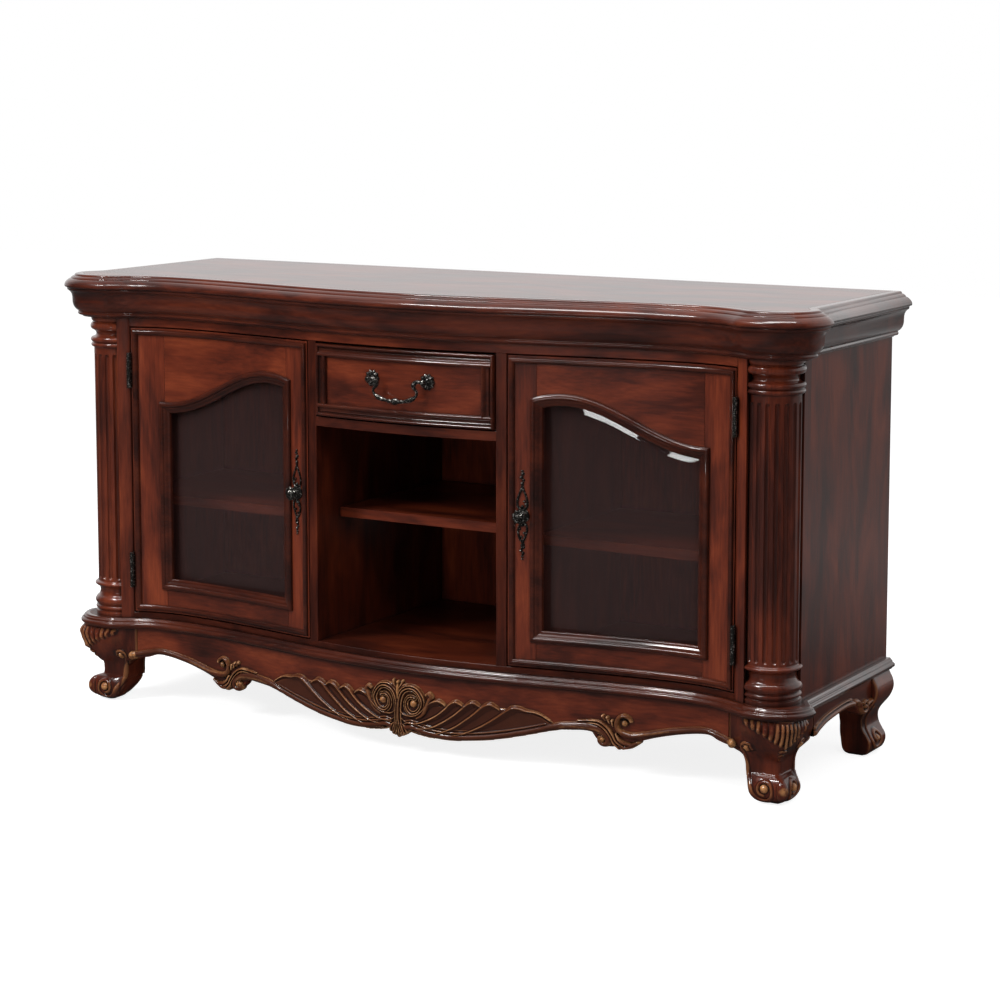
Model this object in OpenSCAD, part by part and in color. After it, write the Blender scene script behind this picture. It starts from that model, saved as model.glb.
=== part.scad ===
// Serpentine-front TV stand with two arched glass doors, a centre drawer over
// an open bay, fluted corner columns and cabriole legs.
// Millimetres. +Z is up, the front faces -Y, and the origin is on the floor
// under the middle of the overall box.

/* [Overall] */
// Overall width, over the rounded corners of the cornice
width = 1626; // [1560:1:1720]
// Overall depth, from the back to the middle of the cornice
depth = 520; // [505:1:600]
// Overall height
height = 851; // [830:1:910]

/* [Front curve] */
// How far the cornice stands out from the face
cornice_over = 37.5; // [36:0.5:42]
// How far the hollow of each door lies behind the middle of the face
bow = 64; // [40:1:70]
// How far the corner lobes lie behind the middle of the face
lobe_back = 23.5; // [15:0.5:30]
// Distance from the deepest point of each hollow out to its corner lobe
hollow_in = 145.3; // [120:0.1:160]
// How far each corner lobe stands out past the side panel
lobe_out = 19.5; // [14:0.5:24]
// Width of the flat facet on the front of each lobe
lobe_flat = 35; // [28:1:40]
// Length along the side over which a lobe dies back into the side
lobe_cant = 32; // [24:1:40]

/* [Heights] */
// Thickness of the top
top_t = 27; // [24:1:32]
// Height of the cornice, from the top down to the foot of the crown
cornice_h = 84; // [76:1:92]
// Strip of top rail that shows under the crown
rail_show = 16.5; // [12:0.5:24]
// Height of the top of the plinth above the floor
plinth_top = 172.5; // [164:0.5:184]
// Height of the plinth moulding and the base board inside it
plinth_h = 20; // [18:0.5:24]
// How far the plinth moulding stands out from the face
plinth_over = 17.5; // [15:0.5:20]
// Rise of the cabinet floor above the plinth
floor_rise = 11.5; // [10:0.5:16]
// Height of the drawer front
drawer_h = 134.5; // [110:0.5:150]
// Thickness of the drawer deck
deck_t = 18; // [15:1:22]

/* [Carcass] */
// Thickness of the side panels
side_t = 18; // [16:1:22]
// Half of the clear width of the open bay
bay_half = 194; // [180:1:205]
// Thickness of the two dividers
divider_t = 19.5; // [16:0.5:22]
// Thickness of the curved frame pieces at the front
frame_t = 20; // [18:1:22]
// Gap round each door and round the drawer front
gap = 2.5; // [2.5:0.1:3.5]
// Thickness of the back panels
back_t = 6; // [4:1:9]
// Distance of the back panels in front of the back edge
back_inset = 19; // [12:1:24]
// Radius of the cable hole in each back panel
cable_r = 30; // [22:1:36]
// Distance of the cable holes' middle below the top of the middle shelf
cable_drop = 100; // [80:1:120]

/* [Columns] */
// Radius of the fluted shafts
col_r = 47; // [44:0.5:49]
// Radius of the widest ring of the capital and base
cap_r = 53.5; // [51:0.5:54]
// Height of the capital
capital_h = 68; // [60:1:74]
// Height of the turned base
base_h = 67.5; // [60:0.5:74]
// Number of flutes round the whole shaft
flutes = 18; // [14:1:20]
// Radius of each flute
flute_r = 4.6; // [3.5:0.1:5]
// Depth of the corner post behind each column
post_d = 27; // [22:1:32]
// Distance from the column's middle back to the post
post_back = 17.5; // [15:0.5:20]
// Distance from the column's middle in to the post's inner face
post_reach = 37; // [33:1:40]

/* [Doors] */
// Width of the stile between each door and its column
stile_w = 37.3; // [34:0.1:44]
// Thickness of the doors
door_t = 22; // [22:0.5:23]
// Width of the stile at the handle side, up to the opening
lock_stile_w = 54; // [50:1:58]
// Width of the stile at the hinge side, up to the opening
hinge_stile_w = 67.5; // [64:0.5:72]
// Height of the bottom rail, up to the opening
bottom_rail_h = 57; // [52:1:62]
// Depth of the top rail over the low end of the arch
arch_low = 154; // [148:1:160]
// Depth of the top rail over the crest of the arch
arch_high = 76; // [70:1:84]
// Distance from the handle side of the door to the crest
crest_x = 104; // [98:1:112]
// Fall of the arch from the crest to the handle side
arch_fall = 7; // [4:0.5:10]
// Thickness of the glass
glass_t = 4; // [3:0.5:4]
// How far the glass reaches into the frame
glass_lap = 6; // [4:0.5:8]
// Width of the bead round the edge of each door
bead_w = 10; // [8:0.5:11]
// Height of the bead
bead_h = 6; // [5:0.5:6]
// Plain margin outside the bead, which the hinges need
bead_margin = 3.5; // [3.5:0.5:5]
// Opening angle of the doors
door_swing = 110; // [90:5:120]

/* [Hinges] */
// Height of each hinge
hinge_h = 69; // [60:1:76]
// Height of the lower hinges' middle above the foot of the door
hinge_low = 83.5; // [60:0.5:110]
// Distance of the upper hinges' middle below the top of the door
hinge_high = 83; // [60:0.5:110]
// Radius of the knuckles
knuckle_r = 4; // [3.5:0.1:4]
// Radius of the hinge pins
hinge_pin_r = 2.2; // [1.8:0.1:2.4]
// Depth of the hinge leaves
leaf_d = 22; // [18:1:24]

/* [Drawer] */
// Thickness of the drawer sides and back
drawer_side_t = 12; // [10:1:15]
// Height of the drawer sides
drawer_side_h = 112; // [90:1:120]
// Clear space between each drawer side and the divider
drawer_side_gap = 4; // [3:0.5:8]
// Clear space between the drawer box and the back panel
drawer_back_gap = 49.08; // [30:0.01:90]
// Gap above the drawer front, and the gap at each end of it
drawer_gap = 3.5; // [3:0.1:4]
drawer_end_gap = 3; // [2.5:0.1:4]
// Thickness of the drawer bottom
drawer_bottom_t = 5; // [4:1:7]
// Width of the moulding round the drawer front
drawer_frame_w = 24; // [20:1:30]
// Distance between the two bail posts
bail_span = 118; // [96:1:128]
// Height of the bail posts above the foot of the drawer front
bail_z = 79; // [70:1:84]
// Drop of the bail below its posts
bail_drop = 39; // [32:1:44]
// Radius of the bail rod
bail_r = 3; // [2.5:0.1:3.5]
// How far the bail's pivot stands out from the drawer front
bail_stand = 17; // [14:0.5:20]

/* [Shelves] */
// Thickness of the shelves
shelf_t = 18; // [15:1:22]
// Height of the top of the middle shelf above the floor
bay_shelf_z = 428; // [370:1:480]
// Height of the top of the side shelves above the floor
side_shelf_z = 407; // [370:1:480]
// Setback of the shelf fronts behind the middle of the face
shelf_back = 92; // [80:1:120]
// Radius of the shelf pins
pin_r = 2.5; // [2:0.5:3.5]

/* [Legs and aprons] */
// Distance from the column's middle to the joint of leg and apron
leg_half = 63; // [60:1:66]
// Depth of the rear legs along the side
rear_leg_d = 84; // [76:1:92]
// Thickness of the aprons
apron_t = 20; // [18:1:22]
// How far the aprons stand out from the face, under the plinth moulding
apron_out = 6; // [3:0.5:8]
// Thickness of the carved relief
carving_t = 9; // [6:0.5:11]
// Radius of the two big volutes at the middle
volute_r = 27; // [22:1:30]

/* [Hidden] */

$fn = 48;
cherry = [0.36, 0.13, 0.09];
dark_cherry = [0.24, 0.09, 0.07];
carved = [0.45, 0.29, 0.16];
pewter = [0.27, 0.25, 0.23];
glass_col = [0.75, 0.8, 0.82, 0.35];

// Small clearances: between fixed curved faces, for a sliding fit and in a bore
seat = 0.2;
slide = 0.3;
running = 0.06;

// Planes of the body; the widest point of each lobe is a mitre of the cornice
lobe_steps = 7;
back_y = depth / 2;
centre_y = -depth / 2 + cornice_over;
hollow_y = centre_y + bow;
lobe_y = centre_y + lobe_back;
lobe_r = col_r + lobe_out - lobe_flat / 2;
lobe_turn = 90 / lobe_steps;
lobe_mitre = mitre(unit([lobe_out, -lobe_cant]), unit([-tan(lobe_turn / 2), -1]));
side_x = width / 2 - lobe_out - cornice_over * lobe_mitre[0];
side_in = side_x - side_t;
carcass_top = height - top_t;
crown_foot = height - cornice_h;
rail_z = crown_foot - rail_show;
base_z = plinth_top - plinth_h;
floor_z = plinth_top + floor_rise;
panel_y = back_y - back_inset - back_t;

// Columns and corner lobes
col_x = side_x - col_r;
col_y = lobe_y + cap_r;
lobe_x = col_x - lobe_flat / 2;
hollow_x = lobe_x - hollow_in;
post_y = col_y + post_back;
post_in = col_x - post_reach;

// Doors and drawer
divider_out = bay_half + divider_t;
door_in = divider_out + gap;
stile_in = lobe_x - stile_w;
door_out = stile_in - gap;
door_z = floor_z + gap;
door_top = rail_z - gap;
open_in = door_in + lock_stile_w;
open_out = door_out - hinge_stile_w;
open_z = door_z + bottom_rail_h;
crest = door_in + crest_x;
drawer_top = rail_z - drawer_gap;
drawer_z = drawer_top - drawer_h;
deck_z = drawer_z - gap - deck_t;
drawer_half = bay_half - drawer_end_gap;
bail_x = bail_span / 2;
bail_level = drawer_z + bail_z;

// Plan of the face: a bow in the middle, a hollow over each door, and a
// return that comes forward to the corner lobe
bow_power = 1.7;
return_power = 2.3;
function face_curve(a) = a < hollow_x ? hollow_y - bow * pow(cos(90 * a / hollow_x), bow_power)
    : hollow_y - (hollow_y - lobe_y) * pow((a - hollow_x) / (lobe_x - hollow_x), return_power);
function steps(a, b, n) = [for (i = [0 : n]) a + (b - a) * i / n];
function reversed(list) = [for (i = [len(list) - 1 : -1 : 0]) list[i]];

// Every curved piece shares the points at these distances from the middle
bow_steps = 20;
return_steps = 7;
face_x = concat(steps(0, hollow_x, bow_steps),
    [for (i = [1 : return_steps]) hollow_x + (lobe_x - hollow_x) * i / return_steps]);
face_table = [for (a = face_x) [a, face_curve(a)]];
all_x = concat([for (a = reversed(face_x)) -a], [for (i = [1 : len(face_x) - 1]) face_x[i]]);
function face_y(x) = lookup(abs(x), face_table);
function between(a, b) = let (lo = min(a, b), hi = max(a, b),
    xs = concat([lo], [for (x = all_x) if (x > lo + 0.5 && x < hi - 0.5) x], [hi])) a < b ? xs : reversed(xs);
function face_line(a, b, set_back = 0) = [for (x = between(a, b)) [x, face_y(x) + set_back]];
function face_turn(x) = atan2(face_y(x + 8) - face_y(x - 8), 16);

// A curved board of the front, seen in plan
function strip(a, b, front, back) = concat(face_line(a, b, front), face_line(b, a, back));

// The line that the cornice, plinth and aprons follow: right side, lobe,
// front, lobe, left side
lobe_line = concat([[side_x, lobe_y + lobe_r + lobe_cant]],
    [for (t = steps(0, 90, lobe_steps))
        [lobe_x + lobe_flat + lobe_r * cos(t), lobe_y + lobe_r - lobe_r * sin(t)]]);
front_line = face_line(lobe_x, -lobe_x);
function flipped(list) = [for (p = reversed(list)) [-p[0], p[1]]];
face_path = concat([[side_x, back_y]], lobe_line, front_line, flipped(lobe_line), [[-side_x, back_y]]);

// Offsetting a line of points along mitred normals
function unit(v) = v / norm(v);
function turned(v) = [-v[1], v[0]];
function mitre(a, b) = let (m = turned(a) + turned(b)) 2 * m / (m * m);
function open_mitre(p, i) = let (n = len(p) - 1)
    mitre(unit(p[max(i, 1)] - p[max(i, 1) - 1]), unit(p[min(i, n - 1) + 1] - p[min(i, n - 1)]));
function loop_mitre(p, i) = let (n = len(p))
    mitre(unit(p[i] - p[(i + n - 1) % n]), unit(p[(i + 1) % n] - p[i]));
function shifted(p, d) = [for (i = [0 : len(p) - 1]) p[i] + d * open_mitre(p, i)];

// Skin over a stack of rings, each with as many points
function ring_skin(rings, points) = [for (i = [0 : rings - 2], j = [0 : points - 1], half = [0, 1])
    let (a = i * points + j, b = i * points + (j + 1) % points)
    half == 0 ? [a, b, a + points] : [b, b + points, a + points]];
function ring_ends(rings, points) = [[for (j = [points - 1 : -1 : 0]) j],
    [for (j = [0 : points - 1]) (rings - 1) * points + j]];
function loop_skin(rings, points) = [for (i = [0 : rings - 1], j = [0 : points - 1], half = [0, 1])
    let (k = (i + 1) % rings, a = i * points + j, b = i * points + (j + 1) % points,
        c = k * points + j, d = k * points + (j + 1) % points)
    half == 0 ? [a, b, c] : [b, d, c]];

// A moulding that runs along a plan line: profile points are [out, height]
module moulding(line, profile) {
    n = len(profile);
    points = [for (i = [0 : len(line) - 1], q = profile)
        let (p = line[i] + q[0] * open_mitre(line, i)) [p[0], p[1], q[1]]];
    polyhedron(points, concat(ring_skin(len(line), n), ring_ends(len(line), n)), convexity = 8);
}

// A moulding that runs round a loop on the curved face: loop points are
// [x, z], profile points are [distance inward, height above the face]
module face_moulding(loop, profile, set_back = 0) {
    n = len(profile);
    points = [for (i = [0 : len(loop) - 1], q = profile)
        let (p = loop[i] + q[0] * loop_mitre(loop, i)) [p[0], face_y(p[0]) + set_back - q[1], p[1]]];
    polyhedron(points, loop_skin(len(loop), n), convexity = 8);
}

module both_sides() {
    children();
    mirror([1, 0, 0]) children();
}

// Top, cornice and plinth
top_profile = [[0, 0], [13.5, 0], [16.5, -1.5], [21.5, -5.5], [27, -9.5], [33.5, -14.5],
    [37.5, -19], [37, -23.5], [33, -27], [0, -27]];
crown_profile = [[0, -27], [32, -27], [31, -32], [26, -35.5], [22.5, -42], [22, -55],
    [20, -63.5], [15, -71], [9.5, -76], [8, -80.5], [0, -84]];
plinth_profile = [[0, 0], [7.5, 0], [11.5, -3.5], [12, -6.5], [16, -9], [17.5, -12.5],
    [16, -16.5], [12, -20], [0, -20]];

// The three profiles follow the named sizes that bound them
function top_point(q) = [q[0] * cornice_over / 37.5, height + q[1] * top_t / 27];
function crown_point(q) = [q[0] * cornice_over / 37.5,
    carcass_top + (q[1] + 27) * (cornice_h - top_t) / 57];
function plinth_point(q) = [q[0] * plinth_over / 17.5, plinth_top + q[1] * plinth_h / 20];

module top_panel() color(cherry)
    translate([0, 0, carcass_top]) linear_extrude(top_t) polygon(face_path);
module top_edge_moulding() color(dark_cherry)
    moulding(face_path, [for (q = top_profile) top_point(q)]);
module crown_moulding() color(cherry)
    moulding(face_path, [for (q = crown_profile) crown_point(q)]);
module plinth_moulding() color(dark_cherry)
    moulding(face_path, [for (q = plinth_profile) plinth_point(q)]);

// Carcass
module side_panel() color(cherry)
    translate([side_in, post_y + post_d, plinth_top])
        cube([side_t, back_y - post_y - post_d, carcass_top - plinth_top]);
module left_side_panel() mirror([1, 0, 0]) side_panel();
module right_side_panel() side_panel();

// Each divider runs to the face, and above that up behind the top rail
module divider() color(cherry) {
    translate([0, 0, floor_z]) linear_extrude(rail_z - floor_z)
        polygon(concat([[bay_half, back_y]], face_line(bay_half, divider_out), [[divider_out, back_y]]));
    translate([0, 0, rail_z]) linear_extrude(carcass_top - rail_z)
        polygon(concat([[bay_half, back_y]], face_line(bay_half, divider_out, frame_t),
            [[divider_out, back_y]]));
}
module left_divider() mirror([1, 0, 0]) divider();
module right_divider() divider();

// The base board carries everything, and the floor is a step on top of it
module bottom_panel() color(dark_cherry) {
    translate([0, 0, base_z]) linear_extrude(plinth_h) polygon(face_path);
    translate([0, 0, plinth_top]) linear_extrude(floor_rise)
        polygon(concat([[side_in, back_y], [side_in, post_y + post_d], [stile_in, post_y + post_d]],
            face_line(stile_in, -stile_in),
            [[-stile_in, post_y + post_d], [-side_in, post_y + post_d], [-side_in, back_y]]));
}
module drawer_deck() color(cherry)
    translate([0, 0, deck_z]) linear_extrude(deck_t)
        polygon(concat(face_line(-bay_half, bay_half), [[bay_half, panel_y], [-bay_half, panel_y]]));

module top_rail() color(cherry)
    translate([0, 0, rail_z]) linear_extrude(carcass_top - rail_z)
        polygon(strip(-stile_in, stile_in, 0, frame_t));

// Each stile is scribed to its column
module stile() color(cherry)
    difference() {
        translate([0, 0, plinth_top]) linear_extrude(carcass_top - plinth_top)
            polygon(strip(stile_in, lobe_x, 0, frame_t));
        translate([col_x, col_y, plinth_top - 1]) cylinder(r = col_r + seat, h = carcass_top, $fn = 64);
    }
module left_stile() mirror([1, 0, 0]) stile();
module right_stile() stile();

module back_panel(a, b) color(dark_cherry)
    difference() {
        translate([a, panel_y, floor_z]) cube([b - a, back_t, carcass_top - floor_z]);
        translate([(a + b) / 2, panel_y - 1, bay_shelf_z - cable_drop]) rotate([-90, 0, 0])
            cylinder(r = cable_r, h = back_t + 2);
    }
module left_back_panel() back_panel(-side_in, -divider_out);
module centre_back_panel() back_panel(-bay_half, bay_half);
module right_back_panel() back_panel(divider_out, side_in);

// Each post runs up behind its column and fills the lobe above it
module corner_posts() color(cherry)
    both_sides() {
        translate([post_in, post_y, plinth_top])
            cube([side_x - post_in, post_d, carcass_top - plinth_top]);
        translate([0, 0, crown_foot]) linear_extrude(carcass_top - crown_foot)
            polygon(concat([[post_in, post_y + post_d], [side_x, post_y + post_d]],
                lobe_line, [[lobe_x, lobe_y], [lobe_x, post_y - 8], [post_in, post_y - 8]]));
    }

// Columns: half of each is seen, and the back is cut flat for the post
module fluted_shaft(z0, z1) {
    translate([0, 0, z0]) linear_extrude(z1 - z0)
        difference() {
            circle(r = col_r, $fn = 64);
            for (i = [0 : flutes - 1])
                rotate(i * 360 / flutes) translate([col_r + 1, 0]) circle(r = flute_r, $fn = 24);
        }
}
// Turned profiles: [radius less the widest ring's radius, share of the height]
capital_turning = [[-8, 0], [-7.5, 0.06], [-1, 0.08], [0, 0.14], [-1, 0.2], [-4, 0.22], [-6, 0.28],
    [-6.5, 0.38], [-9, 0.42], [-10, 0.5], [-7, 0.6], [-2, 0.64], [0, 0.72], [-2, 0.8], [-6, 0.84],
    [-3, 0.9], [-1.5, 1]];
base_turning = [[-1.5, 0], [-1.5, 0.12], [-4, 0.15], [-2, 0.22], [-2.5, 0.3], [-1, 0.34], [0, 0.42],
    [-2, 0.5], [-7, 0.56], [-9.5, 0.68], [-9, 0.8], [-5, 0.86], [-1.5, 0.9], [-1.5, 0.96], [-6, 1]];
module turning(profile, z0, h) {
    translate([0, 0, z0]) rotate_extrude($fn = 64)
        polygon(concat([[0, 0]], [for (q = profile) [cap_r + q[0], q[1] * h]], [[0, h]]));
}
module column() color(cherry)
    difference() {
        translate([col_x, col_y, 0]) {
            turning(base_turning, plinth_top, base_h);
            fluted_shaft(plinth_top + base_h, crown_foot - capital_h);
            turning(capital_turning, crown_foot - capital_h, capital_h);
        }
        translate([col_x - 2 * cap_r, post_y, plinth_top - 1]) cube([4 * cap_r, 2 * cap_r, crown_foot]);
        translate([0, 0, plinth_top - 1]) linear_extrude(crown_foot)
            difference() {
                polygon(strip(stile_in - 1, lobe_x, 0, frame_t + seat));
                translate([col_x, col_y]) circle(r = col_r + seat, $fn = 64);
            }
    }
module left_column() mirror([1, 0, 0]) column();
module right_column() column();

leg_joint_x = col_x - leg_half;
side_joint_y = col_y + leg_half;
rear_joint_y = back_y - rear_leg_d;

// The outlines of legs, aprons and carving are drawn for an apron of this half
// length and for legs of this height, and stretch with the real ones
drawn_x = 644.8;
drawn_z = 152.5;
function fit_x(x) = x * leg_joint_x / drawn_x;
function fit_z(z) = z * base_z / drawn_z;

// Lower edge of the front apron, from the middle outwards: [x, z]
apron_edge = [[0, 38], [14, 45], [24, 49], [44, 45], [70, 40.5], [105, 39], [150, 43], [200, 51],
    [255, 64], [300, 76], [345, 84.5], [372, 84], [386, 69], [404, 58], [424, 59], [440, 67], [462, 71],
    [500, 83], [550, 95], [598, 102], [622, 96], [drawn_x, 93]];
// Points between p1 and p2 on a smooth curve through four points
function curve(p0, p1, p2, p3, t) = 0.5 * (2 * p1 + (p2 - p0) * t
    + (2 * p0 - 5 * p1 + 4 * p2 - p3) * t * t + (3 * p1 - p0 - 3 * p2 + p3) * t * t * t);
function smooth(p, n) = let (m = len(p) - 1) concat([for (i = [0 : m - 1], k = [0 : n - 1])
    curve(p[max(i - 1, 0)], p[i], p[i + 1], p[min(i + 2, m)], k / n)], [p[m]]);
function fitted(p) = [for (q = p) [fit_x(q[0]), fit_z(q[1])]];
apron_half = smooth(fitted(apron_edge), 2);

module front_apron() color(cherry)
    intersection() {
        linear_extrude(base_z)
            polygon(strip(-leg_joint_x, leg_joint_x, -apron_out, apron_t - apron_out));
        rotate([90, 0, 0]) linear_extrude(2 * depth, center = true)
            polygon(concat([[-leg_joint_x, base_z]], [for (p = reversed(apron_half)) [-p[0], p[1]]],
                [for (i = [1 : len(apron_half) - 1]) apron_half[i]], [[leg_joint_x, base_z]]));
    }

// Lower edge of the side aprons, from front to back: [share of the length, z]
side_edge = [[0, 101], [0.06, 107], [0.2, 115], [0.45, 120], [0.62, 119], [0.72, 112], [0.78, 97],
    [0.86, 93], [0.93, 103], [1, 105]];
module side_apron() color(cherry)
    translate([side_x + apron_out - apron_t, 0, 0]) rotate([90, 0, 90]) linear_extrude(apron_t)
        polygon(concat([for (q = smooth(side_edge, 2))
            [side_joint_y + q[0] * (rear_joint_y - side_joint_y), fit_z(q[1])]],
            [[rear_joint_y, base_z], [side_joint_y, base_z]]));
module left_apron() mirror([1, 0, 0]) side_apron();
module right_apron() side_apron();

rear_rail_h = 48;
module rear_rail() color(dark_cherry)
    translate([-rear_in, back_y - apron_t, base_z - rear_rail_h])
        cube([2 * rear_in, apron_t, rear_rail_h]);

// Front legs: rings of [height, shift along the diagonal, half size, squareness]
// about the column's middle, under a knee block with the outline of the lobe
leg_rings = [[0, 19, 24, 2], [4, 19, 34, 2], [15, 18, 44, 2.1], [33, 15.5, 44.5, 2.1], [43, 7, 41, 2.1],
    [52, 0, 38, 2.1], [68, 1, 40.5, 2.2], [88, 5.5, 45, 2.4], [101, 11, 50, 2.5], [111, 15, 53.5, 2.6],
    [123, 18.5, 57, 2.6], [132, 20, 57.5, 2.6], [141, 14, 57, 2.8], [drawn_z, 5, 54, 2.8]];
leg_sides = 32;
knee_z = fit_z(95);
function squarish(t, a, p) = let (c = cos(t), s = sin(t))
    a * [c, s] / pow(pow(abs(c), p) + pow(abs(s), p), 1 / p);
function leg_ring(q) = [for (j = [0 : leg_sides - 1])
    let (d = squarish(-360 * j / leg_sides, q[2], q[3]) + q[1] * [0.7071, -0.7071])
    [col_x + d[0], col_y + d[1], fit_z(q[0])]];
knee_line = [for (p = shifted(face_path, apron_out))
    if (p[1] < side_joint_y - 1 && p[0] > leg_joint_x + 1) p];
module front_leg() color(cherry) {
    polyhedron([for (q = leg_rings, p = leg_ring(q)) p],
        concat(ring_skin(len(leg_rings), leg_sides), ring_ends(len(leg_rings), leg_sides)), convexity = 6);
    translate([0, 0, knee_z]) linear_extrude(base_z - knee_z)
        polygon(concat([[side_x + apron_out - apron_t, side_joint_y], [side_x + apron_out, side_joint_y]],
            knee_line, [[leg_joint_x, face_y(leg_joint_x) - apron_out],
            [leg_joint_x, face_y(leg_joint_x) - apron_out + apron_t]]));
}
module front_left_leg() mirror([1, 0, 0]) front_leg();
module front_right_leg() front_leg();

// Rear legs: rings of [height, inner reach, outer reach, setback of the front]
// measured from the side panel's outer face
rear_rings = [[0, -44, -12, 16], [5, -50, -4, 10], [15, -54, 1, 6], [28, -56, 2, 4], [42, -57, -6, 3],
    [56, -57, -12, 2], [70, -58, -12, 1], [85, -60, -4, 0], [99, -62, 9, 0], [111, -64, 17, 0],
    [123, -66, 20, 0], [135, -66, 17, 0], [145, -66, 11, 0], [drawn_z, -66, 7, 0]];
rear_in = side_x - 66;
rear_corner = 9;
corner_steps = 5;
// A rectangle with round corners, as a clockwise ring of points
function round_ring(x0, x1, y0, y1, r, z) = [for (c = [0 : 3], i = [0 : corner_steps])
    let (t = -90 * c - 90 * i / corner_steps,
        cx = c == 0 || c == 3 ? x1 - r : x0 + r, cy = c < 2 ? y0 + r : y1 - r)
    [cx + r * cos(t), cy + r * sin(t), z]];
function rear_ring(q) = round_ring(side_x + q[1], side_x + q[2], rear_joint_y + q[3], back_y,
    rear_corner, fit_z(q[0]));
rear_sides = 4 * (corner_steps + 1);
module rear_leg() color(cherry)
    polyhedron([for (q = rear_rings, p = rear_ring(q)) p],
        concat(ring_skin(len(rear_rings), rear_sides), ring_ends(len(rear_rings), rear_sides)),
        convexity = 6);
module rear_left_leg() mirror([1, 0, 0]) rear_leg();
module rear_right_leg() rear_leg();

// Carved relief on the apron: a plume each side, two volutes and a finial at
// the middle, and a pair of scrolls at the end of each plume
plume_edge = [[6, 97], [40, 117], [80, 116], [130, 116], [180, 116], [230, 112], [275, 106], [310, 97]];
plume_steps = 36;
plume_foot = 2;
function foot_at(x) = lookup(x, apron_half) + plume_foot;
module plume() {
    n = 6;
    profile = [[0, 0], [0, 0.45], [0.3, 0.9], [0.6, 1], [0.9, 0.6], [1, 0]];
    crest_line = smooth(fitted(plume_edge), 3);
    xs = steps(crest_line[0][0], crest_line[len(crest_line) - 1][0], plume_steps);
    points = [for (i = [0 : plume_steps], q = profile)
        let (x = xs[i], lo = foot_at(x), hi = lookup(x, crest_line),
            rib = 0.75 + 0.25 * abs(sin(180 * i / 4)))
        [x, face_y(x) - apron_out - seat - q[1] * carving_t * rib, lo + q[0] * (hi - lo)]];
    polyhedron(points, concat(ring_skin(plume_steps + 1, n), ring_ends(plume_steps + 1, n)), convexity = 6);
}
module volute(at, r, t)
    translate([fit_x(at[0]), face_y(fit_x(at[0])) - apron_out - seat, fit_z(at[1])])
        rotate(face_turn(fit_x(at[0]))) rotate([90, 0, 0]) {
            cylinder(r = r, h = t * 0.7);
            translate([0, 0, t * 0.7]) rotate_extrude()
                translate([r * 0.72, 0]) circle(r = r * 0.16, $fn = 16);
            cylinder(r = r * 0.3, h = t * 1.1);
        }
scroll_high = [434, 97];
scroll_low = [404, 77];
scroll_r = 18;
module apron_carving() color(carved)
    both_sides() {
        plume();
        volute([volute_r + 14, 99], volute_r, carving_t);
        volute(scroll_high, scroll_r, carving_t);
        volute(scroll_low, scroll_r, carving_t * 0.8);
    }

// Shelves, their pins and the door catches
shelf_y = centre_y + shelf_back;
pin_out = 7;
side_shelf_y = post_y + post_d + 12;
module shelf(a, b, front, top) color(cherry)
    translate([a + 1, front, top - shelf_t]) cube([b - a - 2, panel_y - front - slide, shelf_t]);
module left_shelf() shelf(-side_in, -divider_out, side_shelf_y, side_shelf_z);
module centre_shelf() shelf(-bay_half, bay_half, shelf_y, bay_shelf_z);
module right_shelf() shelf(divider_out, side_in, side_shelf_y, side_shelf_z);
module pins(x, way, top) {
    for (y = [side_shelf_y + 30, panel_y - 50])
        translate([x, y, top - shelf_t - pin_r]) rotate([0, way * 90, 0])
            cylinder(r = pin_r, h = pin_out, $fn = 20);
}
module shelf_pins() color(pewter)
    both_sides() {
        pins(bay_half, -1, bay_shelf_z);
        pins(divider_out, 1, side_shelf_z);
        pins(side_in, -1, side_shelf_z);
    }
catch_w = 16;
catch_d = 30;
catch_h = 12;
catch_y = face_y(divider_out + catch_w) + door_t + slide;
module door_catches() color(pewter)
    both_sides() translate([divider_out, catch_y, door_top - 50]) cube([catch_w, catch_d, catch_h]);

// Door pieces, drawn for the right door
module door_board(a, b, z0, z1)
    translate([0, 0, z0]) linear_extrude(z1 - z0) polygon(strip(a, b, 0, door_t));
// Height of the arch over the opening
function arch_z(x) = let (lo = door_top - arch_low, hi = door_top - arch_high)
    x < crest ? hi - arch_fall * pow((crest - x) / (crest - open_in), 2)
    : lo + (hi - lo) * (1 + cos(180 * min(1, (x - crest) / (open_out - crest - 4)))) / 2;
function opening(lap, n) = concat(
    [[open_in - lap, open_z - lap], [open_out + lap, open_z - lap]],
    [for (x = steps(open_out + lap, open_in - lap, n)) [x, arch_z(x) + lap]]);

// The glass is flat, so it stands a little aslant behind the curved frame
glass_a = [open_in, face_y(open_in) + door_t - glass_t - 0.5];
glass_b = [open_out, face_y(open_out) + door_t - glass_t - 0.5];
glass_turn = atan2(glass_b[1] - glass_a[1], glass_b[0] - glass_a[0]);
module glass_plate(lap, t)
    translate([glass_a[0], glass_a[1], 0]) rotate(glass_turn) translate([0, t, 0])
        rotate([90, 0, 0]) linear_extrude(t)
            polygon([for (p = opening(lap, 20)) [(p[0] - glass_a[0]) / cos(glass_turn), p[1]]]);
module glass_groove() glass_plate(glass_lap + seat, door_t);

module door_hinge_stile() color(cherry)
    difference() {
        door_board(open_out, door_out, door_z, door_top);
        glass_groove();
    }
module door_lock_stile() color(cherry)
    difference() {
        door_board(door_in, open_in, door_z, door_top);
        glass_groove();
    }
module door_bottom_rail() color(cherry)
    difference() {
        door_board(open_in, open_out, door_z, open_z);
        glass_groove();
    }
module door_top_rail() color(cherry)
    difference() {
        intersection() {
            door_board(open_in, open_out, open_z, door_top);
            rotate([90, 0, 0]) linear_extrude(2 * depth, center = true)
                polygon(concat([[open_in, door_top], [open_out, door_top]],
                    [for (x = steps(open_out, open_in, 20)) [x, arch_z(x)]]));
        }
        glass_groove();
    }
module door_glass() color(glass_col) glass_plate(glass_lap, glass_t);

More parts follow.
